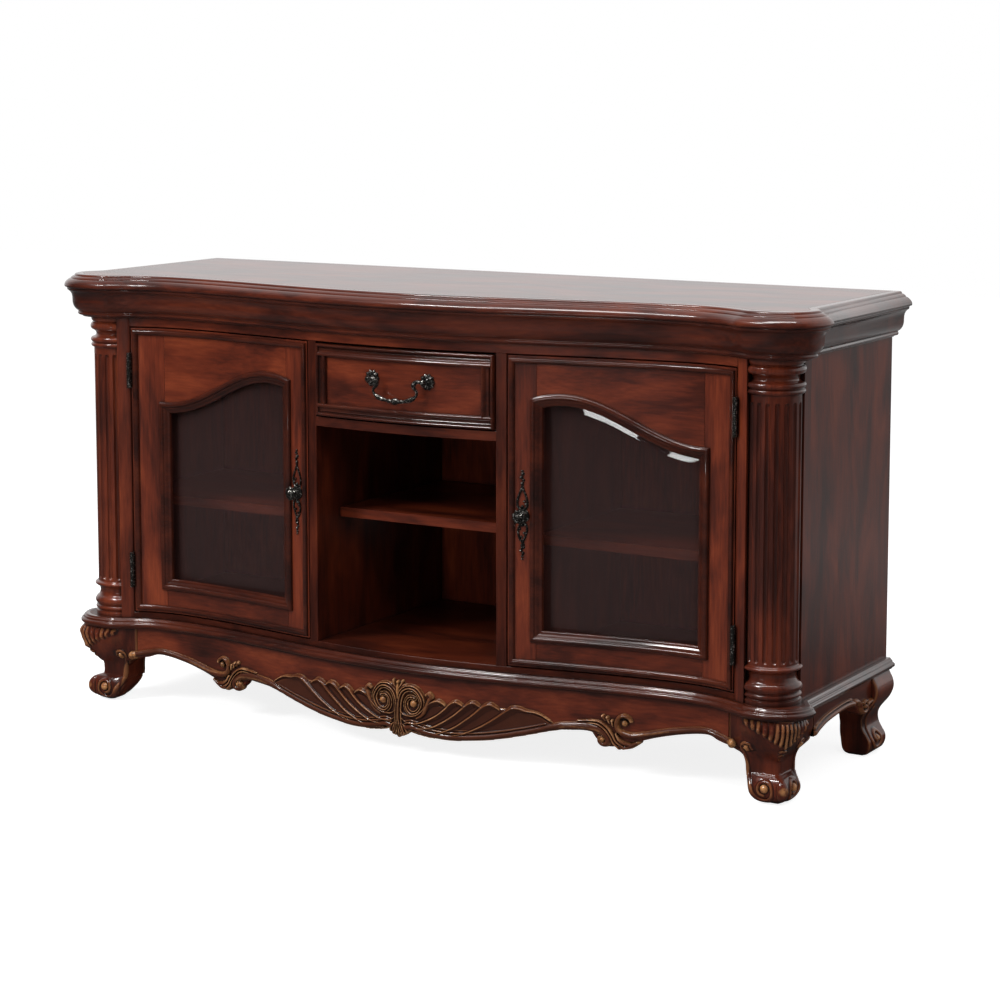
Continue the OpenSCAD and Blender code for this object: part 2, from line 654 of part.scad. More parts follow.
// Moulding round the glass: half of it laps the frame and half the opening
moulding_out = 11;
moulding_profile = [[0, 0], [0.5, 4], [4, 7], [8.5, 7.5], [12, 5], [15, 1.5], [20, 0.5], [22, -2], [22, -7],
    [11.2, -7], [11.2, 0]];
module door_moulding() color(dark_cherry)
    face_moulding(concat(
        [for (x = between(open_in - moulding_out, open_out + moulding_out)) [x, open_z - moulding_out]],
        [for (x = between(open_out + moulding_out, open_in - moulding_out)) [x, arch_z(x) + moulding_out]]),
        moulding_profile);

// Bead round the edge of the door
module edge_bead(x0, x1, z0, z1, w, h) {
    profile = [[0, 0], [0, h * 0.4], [w * 0.2, h * 0.85], [w * 0.5, h], [w * 0.8, h * 0.85],
        [w, h * 0.4], [w, 0]];
    face_moulding(concat([for (x = between(x0, x1)) [x, z0]], [for (x = between(x1, x0)) [x, z1]]), profile);
}
module door_bead() color(dark_cherry)
    edge_bead(door_in + bead_margin, door_out - bead_margin, door_z + bead_margin, door_top - bead_margin,
        bead_w, bead_h);

// Hinges: five knuckles on one pin, the frame's leaf has the odd ones
hinge_x = door_out + gap / 2;
hinge_y = face_y(hinge_x) - bead_h;
knuckles = 5;
knuckle_gap = 0.4;
leaf_t = 1;
knuckle_h = hinge_h / knuckles;
module knuckle(i, x0, x1) {
    translate([hinge_x, hinge_y, i * knuckle_h + knuckle_gap / 2])
        cylinder(r = knuckle_r, h = knuckle_h - knuckle_gap, $fn = 32);
    translate([x0, hinge_y, i * knuckle_h + knuckle_gap / 2])
        cube([x1 - x0, knuckle_r + 1, knuckle_h - knuckle_gap]);
}
module leaf(x0) {
    translate([x0, hinge_y + knuckle_r + 0.5, 0]) cube([leaf_t, leaf_d - knuckle_r, hinge_h]);
}
module frame_leaf() {
    leaf(stile_in - leaf_t);
    for (i = [0, 2, 4]) knuckle(i, stile_in - leaf_t, stile_in);
    translate([hinge_x, hinge_y, 0]) cylinder(r = hinge_pin_r, h = hinge_h, $fn = 32);
}
module door_leaf() {
    leaf(door_out);
    difference() {
        for (i = [1, 3]) knuckle(i, door_out, door_out + leaf_t);
        translate([hinge_x, hinge_y, -1]) cylinder(r = hinge_pin_r + running, h = hinge_h + 2, $fn = 32);
    }
}
module at_hinges() {
    for (z = [door_z + hinge_low, door_top - hinge_high]) translate([0, 0, z - hinge_h / 2]) children();
}
module hinge_frame_leaves() color(pewter) both_sides() at_hinges() frame_leaf();
module door_hinge_leaves() color(pewter) at_hinges() door_leaf();

// Pull: a long pierced plate with a round knob, turned to follow the face
pull_in = 28;
pull_x = door_in + pull_in;
pull_drop = 287;
pull_z = door_top - pull_drop;
pull_up = 82;
pull_down = 80;
plate_t = 2.5;
knob_out = 24;
module oval(z, rx, rz) polygon([for (t = [0 : 15 : 345]) [rx * cos(t), z + rz * sin(t)]]);
module door_pull() color(pewter)
    translate([pull_x, face_y(pull_x), pull_z]) rotate(face_turn(pull_x)) rotate([90, 0, 0]) {
        linear_extrude(plate_t) {
            difference() {
                union() {
                    circle(r = 12);
                    oval(33, 10.5, 23);
                    oval(-34, 9.5, 26);
                    oval(pull_up - 17, 5.5, 17);
                    oval(18 - pull_down, 5, 18);
                }
                oval(35, 5.5, 14);
            }
        }
        rotate_extrude(convexity = 4)
            polygon([[0, 0], [5, 0], [4, 6], [4, 12], [9, 15], [11, 19], [8, knob_out - 1], [0, knob_out]]);
    }

module on_left() mirror([1, 0, 0]) children();
module left_door_hinge_stile() on_left() door_hinge_stile();
module left_door_lock_stile() on_left() door_lock_stile();
module left_door_top_rail() on_left() door_top_rail();
module left_door_bottom_rail() on_left() door_bottom_rail();
module left_door_bead() on_left() door_bead();
module left_door_moulding() on_left() door_moulding();
module left_door_glass() on_left() door_glass();
module left_door_hinge_leaves() on_left() door_hinge_leaves();
module left_door_pull() on_left() door_pull();
module right_door_hinge_stile() door_hinge_stile();
module right_door_lock_stile() door_lock_stile();
module right_door_top_rail() door_top_rail();
module right_door_bottom_rail() door_bottom_rail();
module right_door_bead() door_bead();
module right_door_moulding() door_moulding();
module right_door_glass() door_glass();
module right_door_hinge_leaves() door_hinge_leaves();
module right_door_pull() door_pull();

// Drawer: the box runs on the deck, over a guide at the middle
box_half = bay_half - drawer_side_gap;
box_z = deck_z + deck_t + slide;
box_front = face_y(box_half - drawer_side_t) + frame_t;
box_back = panel_y - drawer_back_gap;
guide_half = 14;
guide_h = 12;
module front_board(z0, z1, front, back)
    translate([0, 0, z0]) linear_extrude(z1 - z0)
        polygon(strip(-drawer_half, drawer_half, front, back));
module drawer_front() color(cherry) front_board(drawer_z, drawer_top, 0, frame_t);
module drawer_moulding() color(dark_cherry)
    edge_frame();
module edge_frame() {
    w = drawer_frame_w;
    profile = [[0, 0], [0, 3], [3, 6.5], [8, 7], [12, 4.5], [15, 3.5], [w - 4, 2.5], [w - 2, 3],
        [w, 1.5], [w, 0]];
    face_moulding(concat([for (x = between(-drawer_half, drawer_half)) [x, drawer_z]],
        [for (x = between(drawer_half, -drawer_half)) [x, drawer_top]]), profile);
}
module drawer_sides() color(cherry)
    difference() {
        both_sides() translate([box_half - drawer_side_t, box_front - 20, box_z])
            cube([drawer_side_t, box_back - box_front + 20, drawer_side_h]);
        front_board(box_z - 1, box_z + drawer_side_h + 1, -60, frame_t);
    }
module drawer_back() color(cherry)
    difference() {
        translate([drawer_side_t - box_half, box_back - drawer_side_t, box_z])
            cube([2 * (box_half - drawer_side_t), drawer_side_t, drawer_side_h - 6]);
        translate([-guide_half - slide, box_back - 2 * drawer_side_t, box_z - 1])
            cube([2 * (guide_half + slide), 3 * drawer_side_t, guide_h + 1 + slide]);
    }
module drawer_bottom() color(dark_cherry)
    difference() {
        translate([drawer_side_t - box_half, box_front - 20, box_z + guide_h + 1])
            cube([2 * (box_half - drawer_side_t), box_back - box_front + 20 - drawer_side_t,
                drawer_bottom_t]);
        front_board(box_z - 1, box_z + drawer_side_h, -60, frame_t);
    }
module drawer_guide() color(cherry)
    translate([-guide_half, box_front + 4, deck_z + deck_t])
        cube([2 * guide_half, panel_y - box_front - 4 - slide, guide_h]);

// Bail and its posts
bail_y = face_y(bail_x) - bail_stand;
bail_pin_r = 1.7;
rosette_r = 14;
rosette_t = 3;
post_r = 4.2;
module bail_posts() color(pewter)
    difference() {
        both_sides() translate([bail_x, face_y(bail_x), bail_level]) {
            rotate(face_turn(bail_x)) rotate([90, 0, 0]) cylinder(r = rosette_r, h = rosette_t);
            translate([0, -1, 0]) rotate([90, 0, 0]) cylinder(r = post_r, h = bail_stand + post_r - 1);
        }
        translate([-width / 2, bail_y, bail_level]) rotate([0, 90, 0])
            cylinder(r = bail_pin_r + running, h = width, $fn = 32);
    }
bail_arm = bail_x - 10;
bail_eye = 8;
bail_sag = bail_drop - bail_eye;
bail_round = (bail_arm * bail_arm + bail_sag * bail_sag) / (2 * bail_sag);
bail_half_angle = asin(bail_arm / bail_round);
module bail_pull() color(pewter)
    translate([0, bail_y, bail_level]) {
        translate([0, 0, bail_round - bail_drop]) rotate([90, 0, 0])
            rotate([0, 0, 270 - bail_half_angle]) rotate_extrude(angle = 2 * bail_half_angle, $fn = 72)
                translate([bail_round, 0]) circle(r = bail_r, $fn = 20);
        for (s = [-1, 1]) {
            translate([s * bail_arm, 0, -bail_eye]) cylinder(r = bail_r, h = bail_eye, $fn = 20);
            for (z = [0, -bail_eye]) translate([s * bail_arm, bail_r * 1.2, z]) rotate([90, 0, 0])
                cylinder(r = bail_r * 1.3, h = bail_r * 2.4, $fn = 20);
            translate([s * bail_arm, 0, 0]) rotate([0, s * 90, 0])
                cylinder(r = bail_pin_r, h = bail_x - bail_arm + 3, $fn = 32);
        }
        translate([-bail_r * 1.6, 0, -bail_drop]) rotate([0, 90, 0])
            cylinder(r = bail_r * 1.6, h = bail_r * 3.2, $fn = 24);
    }

top_panel();
top_edge_moulding();
crown_moulding();
left_side_panel();
right_side_panel();
left_divider();
right_divider();
bottom_panel();
drawer_deck();
top_rail();
left_stile();
right_stile();
left_back_panel();
centre_back_panel();
right_back_panel();
corner_posts();
left_column();
right_column();
plinth_moulding();
front_apron();
left_apron();
right_apron();
rear_rail();
apron_carving();
front_left_leg();
front_right_leg();
rear_left_leg();
rear_right_leg();
left_shelf();
centre_shelf();
right_shelf();
shelf_pins();
drawer_guide();
door_catches();
hinge_frame_leaves();
left_door_hinge_stile();
left_door_lock_stile();
left_door_top_rail();
left_door_bottom_rail();
left_door_bead();
left_door_moulding();
left_door_glass();
left_door_hinge_leaves();
left_door_pull();
right_door_hinge_stile();
right_door_lock_stile();
right_door_top_rail();
right_door_bottom_rail();
right_door_bead();
right_door_moulding();
right_door_glass();
right_door_hinge_leaves();
right_door_pull();
drawer_front();
drawer_moulding();
drawer_sides();
drawer_back();
drawer_bottom();
bail_posts();
bail_pull();
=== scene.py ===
"""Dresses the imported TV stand: smooth curved boards, turned and carved pieces,
lacquered wood, bevelled glass, floor, light and camera."""
from math import atan2, cos, pi, radians, sin, sqrt

import bmesh
import bpy
import numpy as np
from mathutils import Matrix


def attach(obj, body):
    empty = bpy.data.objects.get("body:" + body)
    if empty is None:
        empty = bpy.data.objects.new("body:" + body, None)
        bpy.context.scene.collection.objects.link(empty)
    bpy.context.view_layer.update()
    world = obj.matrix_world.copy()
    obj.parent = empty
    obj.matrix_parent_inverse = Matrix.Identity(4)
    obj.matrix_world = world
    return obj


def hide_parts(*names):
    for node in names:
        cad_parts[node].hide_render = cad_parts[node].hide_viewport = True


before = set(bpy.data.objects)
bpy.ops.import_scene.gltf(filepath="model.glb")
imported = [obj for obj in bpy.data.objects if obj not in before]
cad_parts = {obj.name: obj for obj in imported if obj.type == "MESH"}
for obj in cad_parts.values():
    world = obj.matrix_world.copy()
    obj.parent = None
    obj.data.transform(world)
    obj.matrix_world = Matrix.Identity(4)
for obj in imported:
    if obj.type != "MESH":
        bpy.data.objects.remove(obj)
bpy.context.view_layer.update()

MM = 0.001

# ---- sizes, in mm
HEIGHT, CARCASS_TOP, RAIL_Z = 851, 824, 750.5
PLINTH_TOP, BASE_Z, FLOOR_Z = 172.5, 152.5, 184
DECK_Z, DECK_TOP = 592, 610
DRAWER_Z, DRAWER_TOP, DRAWER_HALF = 612.5, 747, 191
DOOR_Z, DOOR_TOP, DOOR_IN, DOOR_OUT = 186.5, 748, 216, 650.5
OPEN_IN, OPEN_OUT, OPEN_Z, CREST = 270, 583, 243.5, 320
STILE_IN, STILE_EDGE, BAY_HALF = 653, 676, 194
SIDE_X, SIDE_IN, BACK_Y, PANEL_Y = 754.8, 736.8, 260, 235
COL_X, COL_Y, COL_R, POST_Y, POST_FRONT = 707.8, -145.5, 47, -128, -101
LOBE_X, LOBE_Y, LOBE_FLAT, LOBE_R, LOBE_CANT = 690.3, -199, 35, 49, 32
HOLLOW_X, FRAME_T, DOOR_T = 545, 20, 22
JOINT_X, SIDE_JOINT, REAR_JOINT = 644.8, -82.5, 176
APRON_OUT, APRON_T, CARVING_TOP = 6, 20, 154
PULL_X, PULL_Z = 244, 461
BAIL_X, BAIL_Y, BAIL_Z = 59, -237.895, 691.5
# A relief is left out where it is lower than FAINT, and under LEVEL its grid dips into the wood
FAINT, LEVEL = 0.12, 0.02
# Depth of the rim behind the front carving and the side carvings, in m
FRONT_RIM, SIDE_RIM = 0.012, 0.01


def face(x):
    """Plan of the serpentine front."""
    a = np.abs(np.asarray(x, float))
    bow = -158.5 - 64 * np.cos(np.clip(pi / 2 * a / HOLLOW_X, 0, pi / 2)) ** 1.7
    back = -158.5 - 40.5 * (np.clip(a - HOLLOW_X, 0, None) / (LOBE_X - HOLLOW_X)) ** 2.3
    return np.where(a < HOLLOW_X, bow, back)


def arch(x):
    """Height of the arch over a door's opening."""
    lo, hi = DOOR_TOP - 154, DOOR_TOP - 76
    x = np.asarray(x, float)
    rise = hi - 7 * ((CREST - x) / (CREST - OPEN_IN)) ** 2
    turn = np.clip((x - CREST) / (OPEN_OUT - CREST - 4), 0, 1)
    return np.where(x < CREST, rise, lo + (hi - lo) * (1 + np.cos(pi * turn)) / 2)


# ---- curve tools
def span(a, b, n):
    """n even steps from a to b."""
    return np.linspace(a, b, n + 1)


def catmull(points, n):
    """Smooth curve through points, n steps a span."""
    p = np.asarray(points, float)
    m = len(p) - 1
    q = np.vstack([2 * p[0] - p[1], p, 2 * p[-1] - p[-2]])
    t = np.arange(n)[:, None] / n
    out = [0.5 * (2 * q[i + 1] + (q[i + 2] - q[i]) * t
                  + (2 * q[i] - 5 * q[i + 1] + 4 * q[i + 2] - q[i + 3]) * t ** 2
                  + (3 * q[i + 1] - q[i] - 3 * q[i + 2] + q[i + 3]) * t ** 3) for i in range(m)]
    return np.vstack(out + [p[-1:]])


def rounded(points, r, n=3, closed=False):
    """A polyline with its corners rounded."""
    p = np.asarray(points, float)
    m, out = len(p), []
    for i in range(m):
        if not closed and i in (0, m - 1):
            out.append(p[i])
            continue
        a, b = p[i - 1] - p[i], p[(i + 1) % m] - p[i]
        la, lb = np.linalg.norm(a), np.linalg.norm(b)
        if min(la, lb) < 1e-6:
            continue
        a, b = p[i] + a / la * min(r, la * 0.45), p[i] + b / lb * min(r, lb * 0.45)
        for t in span(0, 1, n):
            out.append((1 - t) ** 2 * a + 2 * t * (1 - t) * p[i] + t * t * b)
    return np.array(out)


def unit(v):
    return v / np.maximum(np.linalg.norm(v, axis=-1, keepdims=True), 1e-9)


def turned(v):
    """Plan directions turned a quarter to the left."""
    return np.stack([-v[:, 1], v[:, 0]], 1)


def mitres(line, closed=False):
    """Offset directions of a line in a plane, long enough to keep its sides parallel."""
    p = np.asarray(line, float)
    if closed:
        back, ahead = p - np.roll(p, 1, 0), np.roll(p, -1, 0) - p
    else:
        d = p[1:] - p[:-1]
        back, ahead = np.vstack([d[:1], d]), np.vstack([d, d[-1:]])
    m = turned(unit(back)) + turned(unit(ahead))
    return 2 * m / np.maximum((m * m).sum(1, keepdims=True), 0.2)


# ---- mesh tools
def quads(n, m, close_n=False, close_m=True):
    """Faces of a grid with n rows of m points."""
    rows, columns = np.arange(n if close_n else n - 1), np.arange(m if close_m else m - 1)
    i, j = np.meshgrid(rows, columns, indexing="ij")
    i, j = i.ravel(), j.ravel()
    i2, j2 = (i + 1) % n, (j + 1) % m
    return np.stack([i * m + j, i * m + j2, i2 * m + j2, i2 * m + j], 1)


def mesh_of(name, parts):
    """A mesh from parts of (points in mm, quads, other faces)."""
    verts, faces, base = [], [], 0
    for points, four, other in parts:
        verts.append(np.asarray(points, float).reshape(-1, 3))
        faces += (four + base).tolist() + [[i + base for i in face] for face in other]
        base += len(verts[-1])
    me = bpy.data.meshes.new(name)
    me.from_pydata((np.vstack(verts) * MM).tolist(), [], faces)
    me.validate()
    return me


def placed(name, data):
    obj = bpy.data.objects.new(name, data)
    bpy.context.scene.collection.objects.link(obj)
    return obj


def add(name, parts, body, material, nodes=(), angle=32, outward=True):
    """One piece of the scene from mesh parts, on its body and with its material."""
    me = mesh_of(name, parts)
    if outward:
        bm = bmesh.new()
        bm.from_mesh(me)
        bmesh.ops.recalc_face_normals(bm, faces=bm.faces)
        bm.to_mesh(me)
        bm.free()
    me.shade_smooth()
    me.set_sharp_from_angle(angle=radians(angle))
    me.materials.append(material)
    obj = placed(name, me)
    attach(obj, body)
    if nodes:
        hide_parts(*nodes)
    return obj


def mirrored(parts):
    """Mesh parts of the other side."""
    return [(np.asarray(p, float).reshape(-1, 3) * (-1, 1, 1), q, f) for p, q, f in parts]


def both_sides(part):
    return ("left", mirrored([part])), ("right", [part])


def lofted(rings):
    """A skin over rings of points, closed at both ends."""
    r = np.asarray(rings, float)
    n, m = r.shape[:2]
    return (r.reshape(-1, 3), quads(n, m), [list(range(m)), [(n - 1) * m + j for j in range(m)]])


def swept(line, profile):
    """A moulding along a plan line: profile points are (out, height)."""
    line, profile = np.asarray(line, float), np.asarray(profile, float)
    m = mitres(line)
    xy = line[:, None, :] + profile[None, :, :1] * m[:, None, :]
    z = np.broadcast_to(profile[None, :, 1:], xy.shape[:2] + (1,))
    return lofted(np.concatenate([xy, z], 2))


def on_face(loop, profile):
    """A moulding round a closed loop (x, z) on the face: profile is (inward, height)."""
    loop, profile = np.asarray(loop, float), np.asarray(profile, float)
    xz = loop[:, None, :] + profile[None, :, :1] * mitres(loop, True)[:, None, :]
    y = face(xz[..., 0]) - profile[None, :, 1]
    r = np.stack([xz[..., 0], y, xz[..., 1]], 2)
    return (r.reshape(-1, 3), quads(len(loop), len(profile), close_n=True), [])


def prism(line, z0, z1, edge=0.6):
    """A flat board with a plan outline and softened edges."""
    small = line - edge * mitres(line, True)
    levels = ((small, z0), (line, z0 + edge), (line, z1 - edge), (small, z1))
    return lofted([np.c_[xy, np.full(len(line), z)] for xy, z in levels])


def board(a, b, lo, hi, front, back, edge=0.7, step=6):
    """A board that follows the face from x = a to b; lo and hi are heights or functions of x."""
    xs = np.concatenate([[a], span(a + edge, b - edge, max(2, int(abs(b - a) / step))), [b]])
    low, high = (np.asarray([f(x) if callable(f) else f for x in xs], float) for f in (lo, hi))
    rings = []
    for i, x in enumerate(xs):
        e, c = edge if i in (0, len(xs) - 1) else 0, edge
        f, k, l, h = face(x) + front + e, face(x) + back - e, low[i] + e, high[i] - e
        rings.append([(x, f, l + c), (x, f, h - c), (x, f + c, h), (x, k - c, h),
                      (x, k, h - c), (x, k, l + c), (x, k - c, l), (x, f + c, l)])
    return lofted(rings)


def lathe(profile, steps, place, ripple=None):
    """A turned form: profile points are (radius, along the axis), place maps (x, y, along) to the frame."""
    t = span(0, 2 * pi, steps)[:-1]
    rings = []
    for r, h in profile:
        r = r * (1 + (ripple(t, h) if ripple else 0))
        rings.append(place(np.stack([r * np.cos(t), r * np.sin(t), np.full(steps, h)], 1)))
    return lofted(rings)


def tube(path, radius, steps=14):
    """A round rod along a path in space, radius as a number or one per point."""
    p = np.asarray(path, float)
    d = unit(np.gradient(p, axis=0))
    r = np.broadcast_to(np.asarray(radius, float), (len(p),))[:, None, None]
    side = unit(np.cross(d, (0, 1, 0.001)))
    other = np.cross(side, d)
    t = span(0, 2 * pi, steps)[:-1, None]
    return lofted(p[:, None] + r * (side[:, None] * np.cos(t) + other[:, None] * np.sin(t)))


# ---- relief
def relief(u, v, strokes):
    """Heights of a carved relief at points (u, v): the highest of strokes (line, widths, heights, kind)."""
    flat_u, flat_v, flat_h = u.ravel(), v.ravel(), np.zeros(u.size)
    for pts, widths, heights, kind in strokes:
        line = catmull(pts, 10) if len(pts) > 1 else np.asarray(pts, float)
        at = span(0, 1, len(line) - 1)
        w, g = (np.interp(at, span(0, 1, len(given) - 1), given) for given in (widths, heights))
        reach = w.max() * (2.6 if kind == "leaf" else 1) + 1
        near = np.where((flat_u > line[:, 0].min() - reach) & (flat_u < line[:, 0].max() + reach)
                        & (flat_v > line[:, 1].min() - reach) & (flat_v < line[:, 1].max() + reach))[0]
        if not len(near):
            continue
        du = flat_u[near][:, None] - line[None, :, 0]
        dv = flat_v[near][:, None] - line[None, :, 1]
        k = (du * du + dv * dv).argmin(1)
        i = np.arange(len(near))
        du, dv = du[i, k], dv[i, k]
        q = np.hypot(du, dv) / w[k]
        if len(line) > 1:
            d = unit(np.gradient(line, axis=0))
            side = -du * d[k, 1] + dv * d[k, 0]
            along = np.abs(du * d[k, 0] + dv * d[k, 1])
            end = (k == 0) | (k == len(line) - 1)
            q = np.copysign(np.where(end, np.hypot(side, along), np.abs(side)) / w[k], side)
        a = np.abs(q)
        f = np.clip(1 - a * a, 0, 1) ** (0.6 if kind == "bead" else 0.5)
        if kind == "reed":
            f = f * (0.74 + 0.26 * np.cos(q * 3 * pi))
        elif kind == "leaf":  # steep on its upper side, with a long scooped fall on the other
            f = np.where(q > 0, np.clip(1 - (a * 2) ** 2, 0, 1), np.clip(1 - a / 2.4, 0, 1) ** 2.2)
        flat_h[near] = np.maximum(flat_h[near], g[k] * f)
    return flat_h.reshape(u.shape)


def beads(*lines):
    return [(*line, "bead") for line in lines]


def domes(*bosses):
    """Round bosses from (u, v, radius, height)."""
    return [([(u, v)], (r,), (h,), "dome") for u, v, r, h in bosses]


def skin(grid, heights, least):
    """The part of a grid that stands out, as points and quads, and which of its points they are."""
    q = quads(*heights.shape, close_m=False)
    q = q[heights.ravel()[q].max(1) > least]
    used = np.unique(q)
    remap = np.full(heights.size, -1)
    remap[used] = np.arange(len(used))
    return grid.reshape(-1, 3)[used], remap[q], used


def seat(obj, axis, depth, halves=False):
    """Turns a relief to face away from the wood and runs its rim back along an axis, in m."""
    bm = bmesh.new()
    bm.from_mesh(obj.data)
    if halves:
        bmesh.ops.remove_doubles(bm, verts=[v for v in bm.verts if abs(v.co.x) < 1e-5], dist=1e-5)
        bmesh.ops.recalc_face_normals(bm, faces=bm.faces)
    if sum(f.normal[axis] for f in bm.faces) * depth > 0:
        bmesh.ops.reverse_faces(bm, faces=bm.faces)
    # The rim is made face by face, because an extrusion orders its faces differently in each run
    edges = [e for e in bm.edges if e.is_boundary]
    back = {v: bm.verts.new(v.co, v) for v in [v for v in bm.verts if v.is_boundary]}
    for e in edges:
        loop = e.link_loops[0]
        a, b = loop.vert, loop.link_loop_next.vert
        bm.faces.new((b, a, back[a], back[b]), loop.face)
    for v in back.values():
        v.co[axis] += depth
    bm.to_mesh(obj.data)
    bm.free()


def store(obj, name, values):
    """Keeps one value per point for the materials: "gilt" is where gold is rubbed on, and on the front carving also a
    painted highlight along its bands.
    """
    layer = obj.data.attributes.new(name, "FLOAT", "POINT")
    layer.data.foreach_set("value", np.clip(values, 0, 1).astype(np.float32).ravel())


def mark_ridges(obj, rings, scale):
    """Stores how much each point stands out of its surroundings, for rubbed wear and painted highlight on the ridges
    and painted shade in the hollows.
    """
    def read(items, key, kind, width):
        out = np.empty(len(items) * width, kind)
        items.foreach_get(key, out)
        return out.reshape(-1, width)

    me = obj.data
    co = read(me.vertices, "co", np.float32, 3).astype(float) / MM
    normal = read(me.vertex_normals, "vector", np.float32, 3).astype(float)
    a, b = read(me.edges, "vertices", np.int32, 2).T
    count = np.bincount(np.r_[a, b], minlength=len(co)).clip(1)[:, None]
    smooth = co.copy()
    for _ in range(rings):
        total = np.zeros_like(smooth)
        np.add.at(total, a, smooth[b])
        np.add.at(total, b, smooth[a])
        smooth = total / count
    store(obj, "ridge", 0.5 + 0.5 * ((co - smooth) * normal).sum(1) / scale)


# ---- materials
class Graph:
    """Short names for building the nodes of a material, or of the world where it is given."""

    def __init__(self, name, world=None):
        self.mat = world or bpy.data.materials.new(name)
        self.mat.use_nodes = True
        self.nodes, self.links = self.mat.node_tree.nodes, self.mat.node_tree.links
        self.shader = self.nodes.get("Principled BSDF")

    def feed(self, socket, value):
        """Links an output to a socket, or sets the socket's own value."""
        if isinstance(value, bpy.types.NodeSocket):
            self.links.new(value, socket)
        elif isinstance(value, tuple) and len(socket.default_value) == 4:
            socket.default_value = (*value, 1)
        else:
            socket.default_value = value

    def node(self, kind, **values):
        n = self.nodes.new(kind)
        for k, v in values.items():
            if k in n.inputs:
                self.feed(n.inputs[k], v)
            else:
                setattr(n, k, v)
        return n

    def mapped(self, scale=(1, 1, 1), location=(0, 0, 0)):
        place = self.node("ShaderNodeTexCoord").outputs["Object"]
        return self.node("ShaderNodeMapping", Vector=place, Scale=scale, Location=location).outputs["Vector"]

    def noise(self, vector, scale, detail, rough, distortion=0):
        return self.node("ShaderNodeTexNoise", Vector=vector, Scale=scale, Detail=detail, Roughness=rough,
                         Distortion=distortion).outputs["Fac"]

    def ramp(self, fac, stops):
        r = self.node("ShaderNodeValToRGB", Fac=fac)
        e = r.color_ramp.elements
        while len(e) < len(stops):
            e.new(0.5)
        for k, (pos, col) in enumerate(stops):
            e[k].position = pos
            e[k].color = (*col, 1)
        return r.outputs["Color"]

    def step(self, fac, black, white):
        """Grey that is black at one value and white at the other."""
        return self.ramp(fac, sorted([(black, (0, 0, 0)), (white, (1, 1, 1))]))

    def math(self, op, a, b, clamp=False):
        n = self.node("ShaderNodeMath", operation=op, use_clamp=clamp)
        self.feed(n.inputs[0], a)
        self.feed(n.inputs[1], b)
        return n.outputs[0]

    def times(self, a, b):
        return self.math("MULTIPLY", a, b)

    def mix(self, fac, a, b, kind="RGBA"):
        n = self.node("ShaderNodeMix", data_type=kind)
        first = 6 if kind == "RGBA" else 2
        for key, v in ((0, fac), (first, a), (first + 1, b)):
            self.feed(n.inputs[key], v)
        return n.outputs[2 if kind == "RGBA" else 0]

    def by_y(self, place, low, high, at_low, at_high):
        """A value that goes over from one to the other between two places along Y."""
        y = self.node("ShaderNodeSeparateXYZ", Vector=place).outputs["Y"]
        limits = {"From Min": low, "From Max": high, "To Min": at_low, "To Max": at_high}
        return self.node("ShaderNodeMapRange", Value=y, **limits).outputs["Result"]

    def seen(self, *kinds):
        """One where a ray of any of these kinds looks, zero elsewhere."""
        rays = self.node("ShaderNodeLightPath")
        out = rays.outputs[kinds[0]]
        for kind in kinds[1:]:
            out = self.math("MAXIMUM", out, rays.outputs[kind])
        return out

    def crevice(self, distance):
        return self.node("ShaderNodeAmbientOcclusion", Distance=distance, samples=8).outputs["AO"]

    def stored(self, name):
        return self.node("ShaderNodeAttribute", attribute_name=name, attribute_type="GEOMETRY").outputs["Fac"]

    def gilt(self):
        worn, shown = self.noise(self.mapped(), 130, 3, 0.6), self.stored("gilt")
        return self.math("MULTIPLY", shown, self.ramp(worn, [(0.38, (0.25,) * 3), (0.56, (1, 1, 1))]), True)

    def bump(self, height, strength, distance):
        n = self.node("ShaderNodeBump", Strength=strength, Distance=distance, Height=height)
        self.feed(self.shader.inputs["Normal"], n.outputs["Normal"])

    def surface(self, color, **values):
        self.feed(self.shader.inputs["Base Color"], color)
        for k, v in values.items():
            self.feed(self.shader.inputs[k.replace("_", " ")], v)
        return self.mat


DARK, MID = (0.018, 0.0045, 0.003), (0.044, 0.0085, 0.0045)
WARM, LIGHT = (0.088, 0.015, 0.006), (0.15, 0.028, 0.0095)
GOLD = (0.36, 0.165, 0.062)


def stretched(along, slow, fast):
    """Texture scale of a noise that is drawn out along one axis."""
    return tuple(slow if axis == along else fast for axis in "xyz")


def toned(color, tone):
    return tuple(v * tone for v in color)


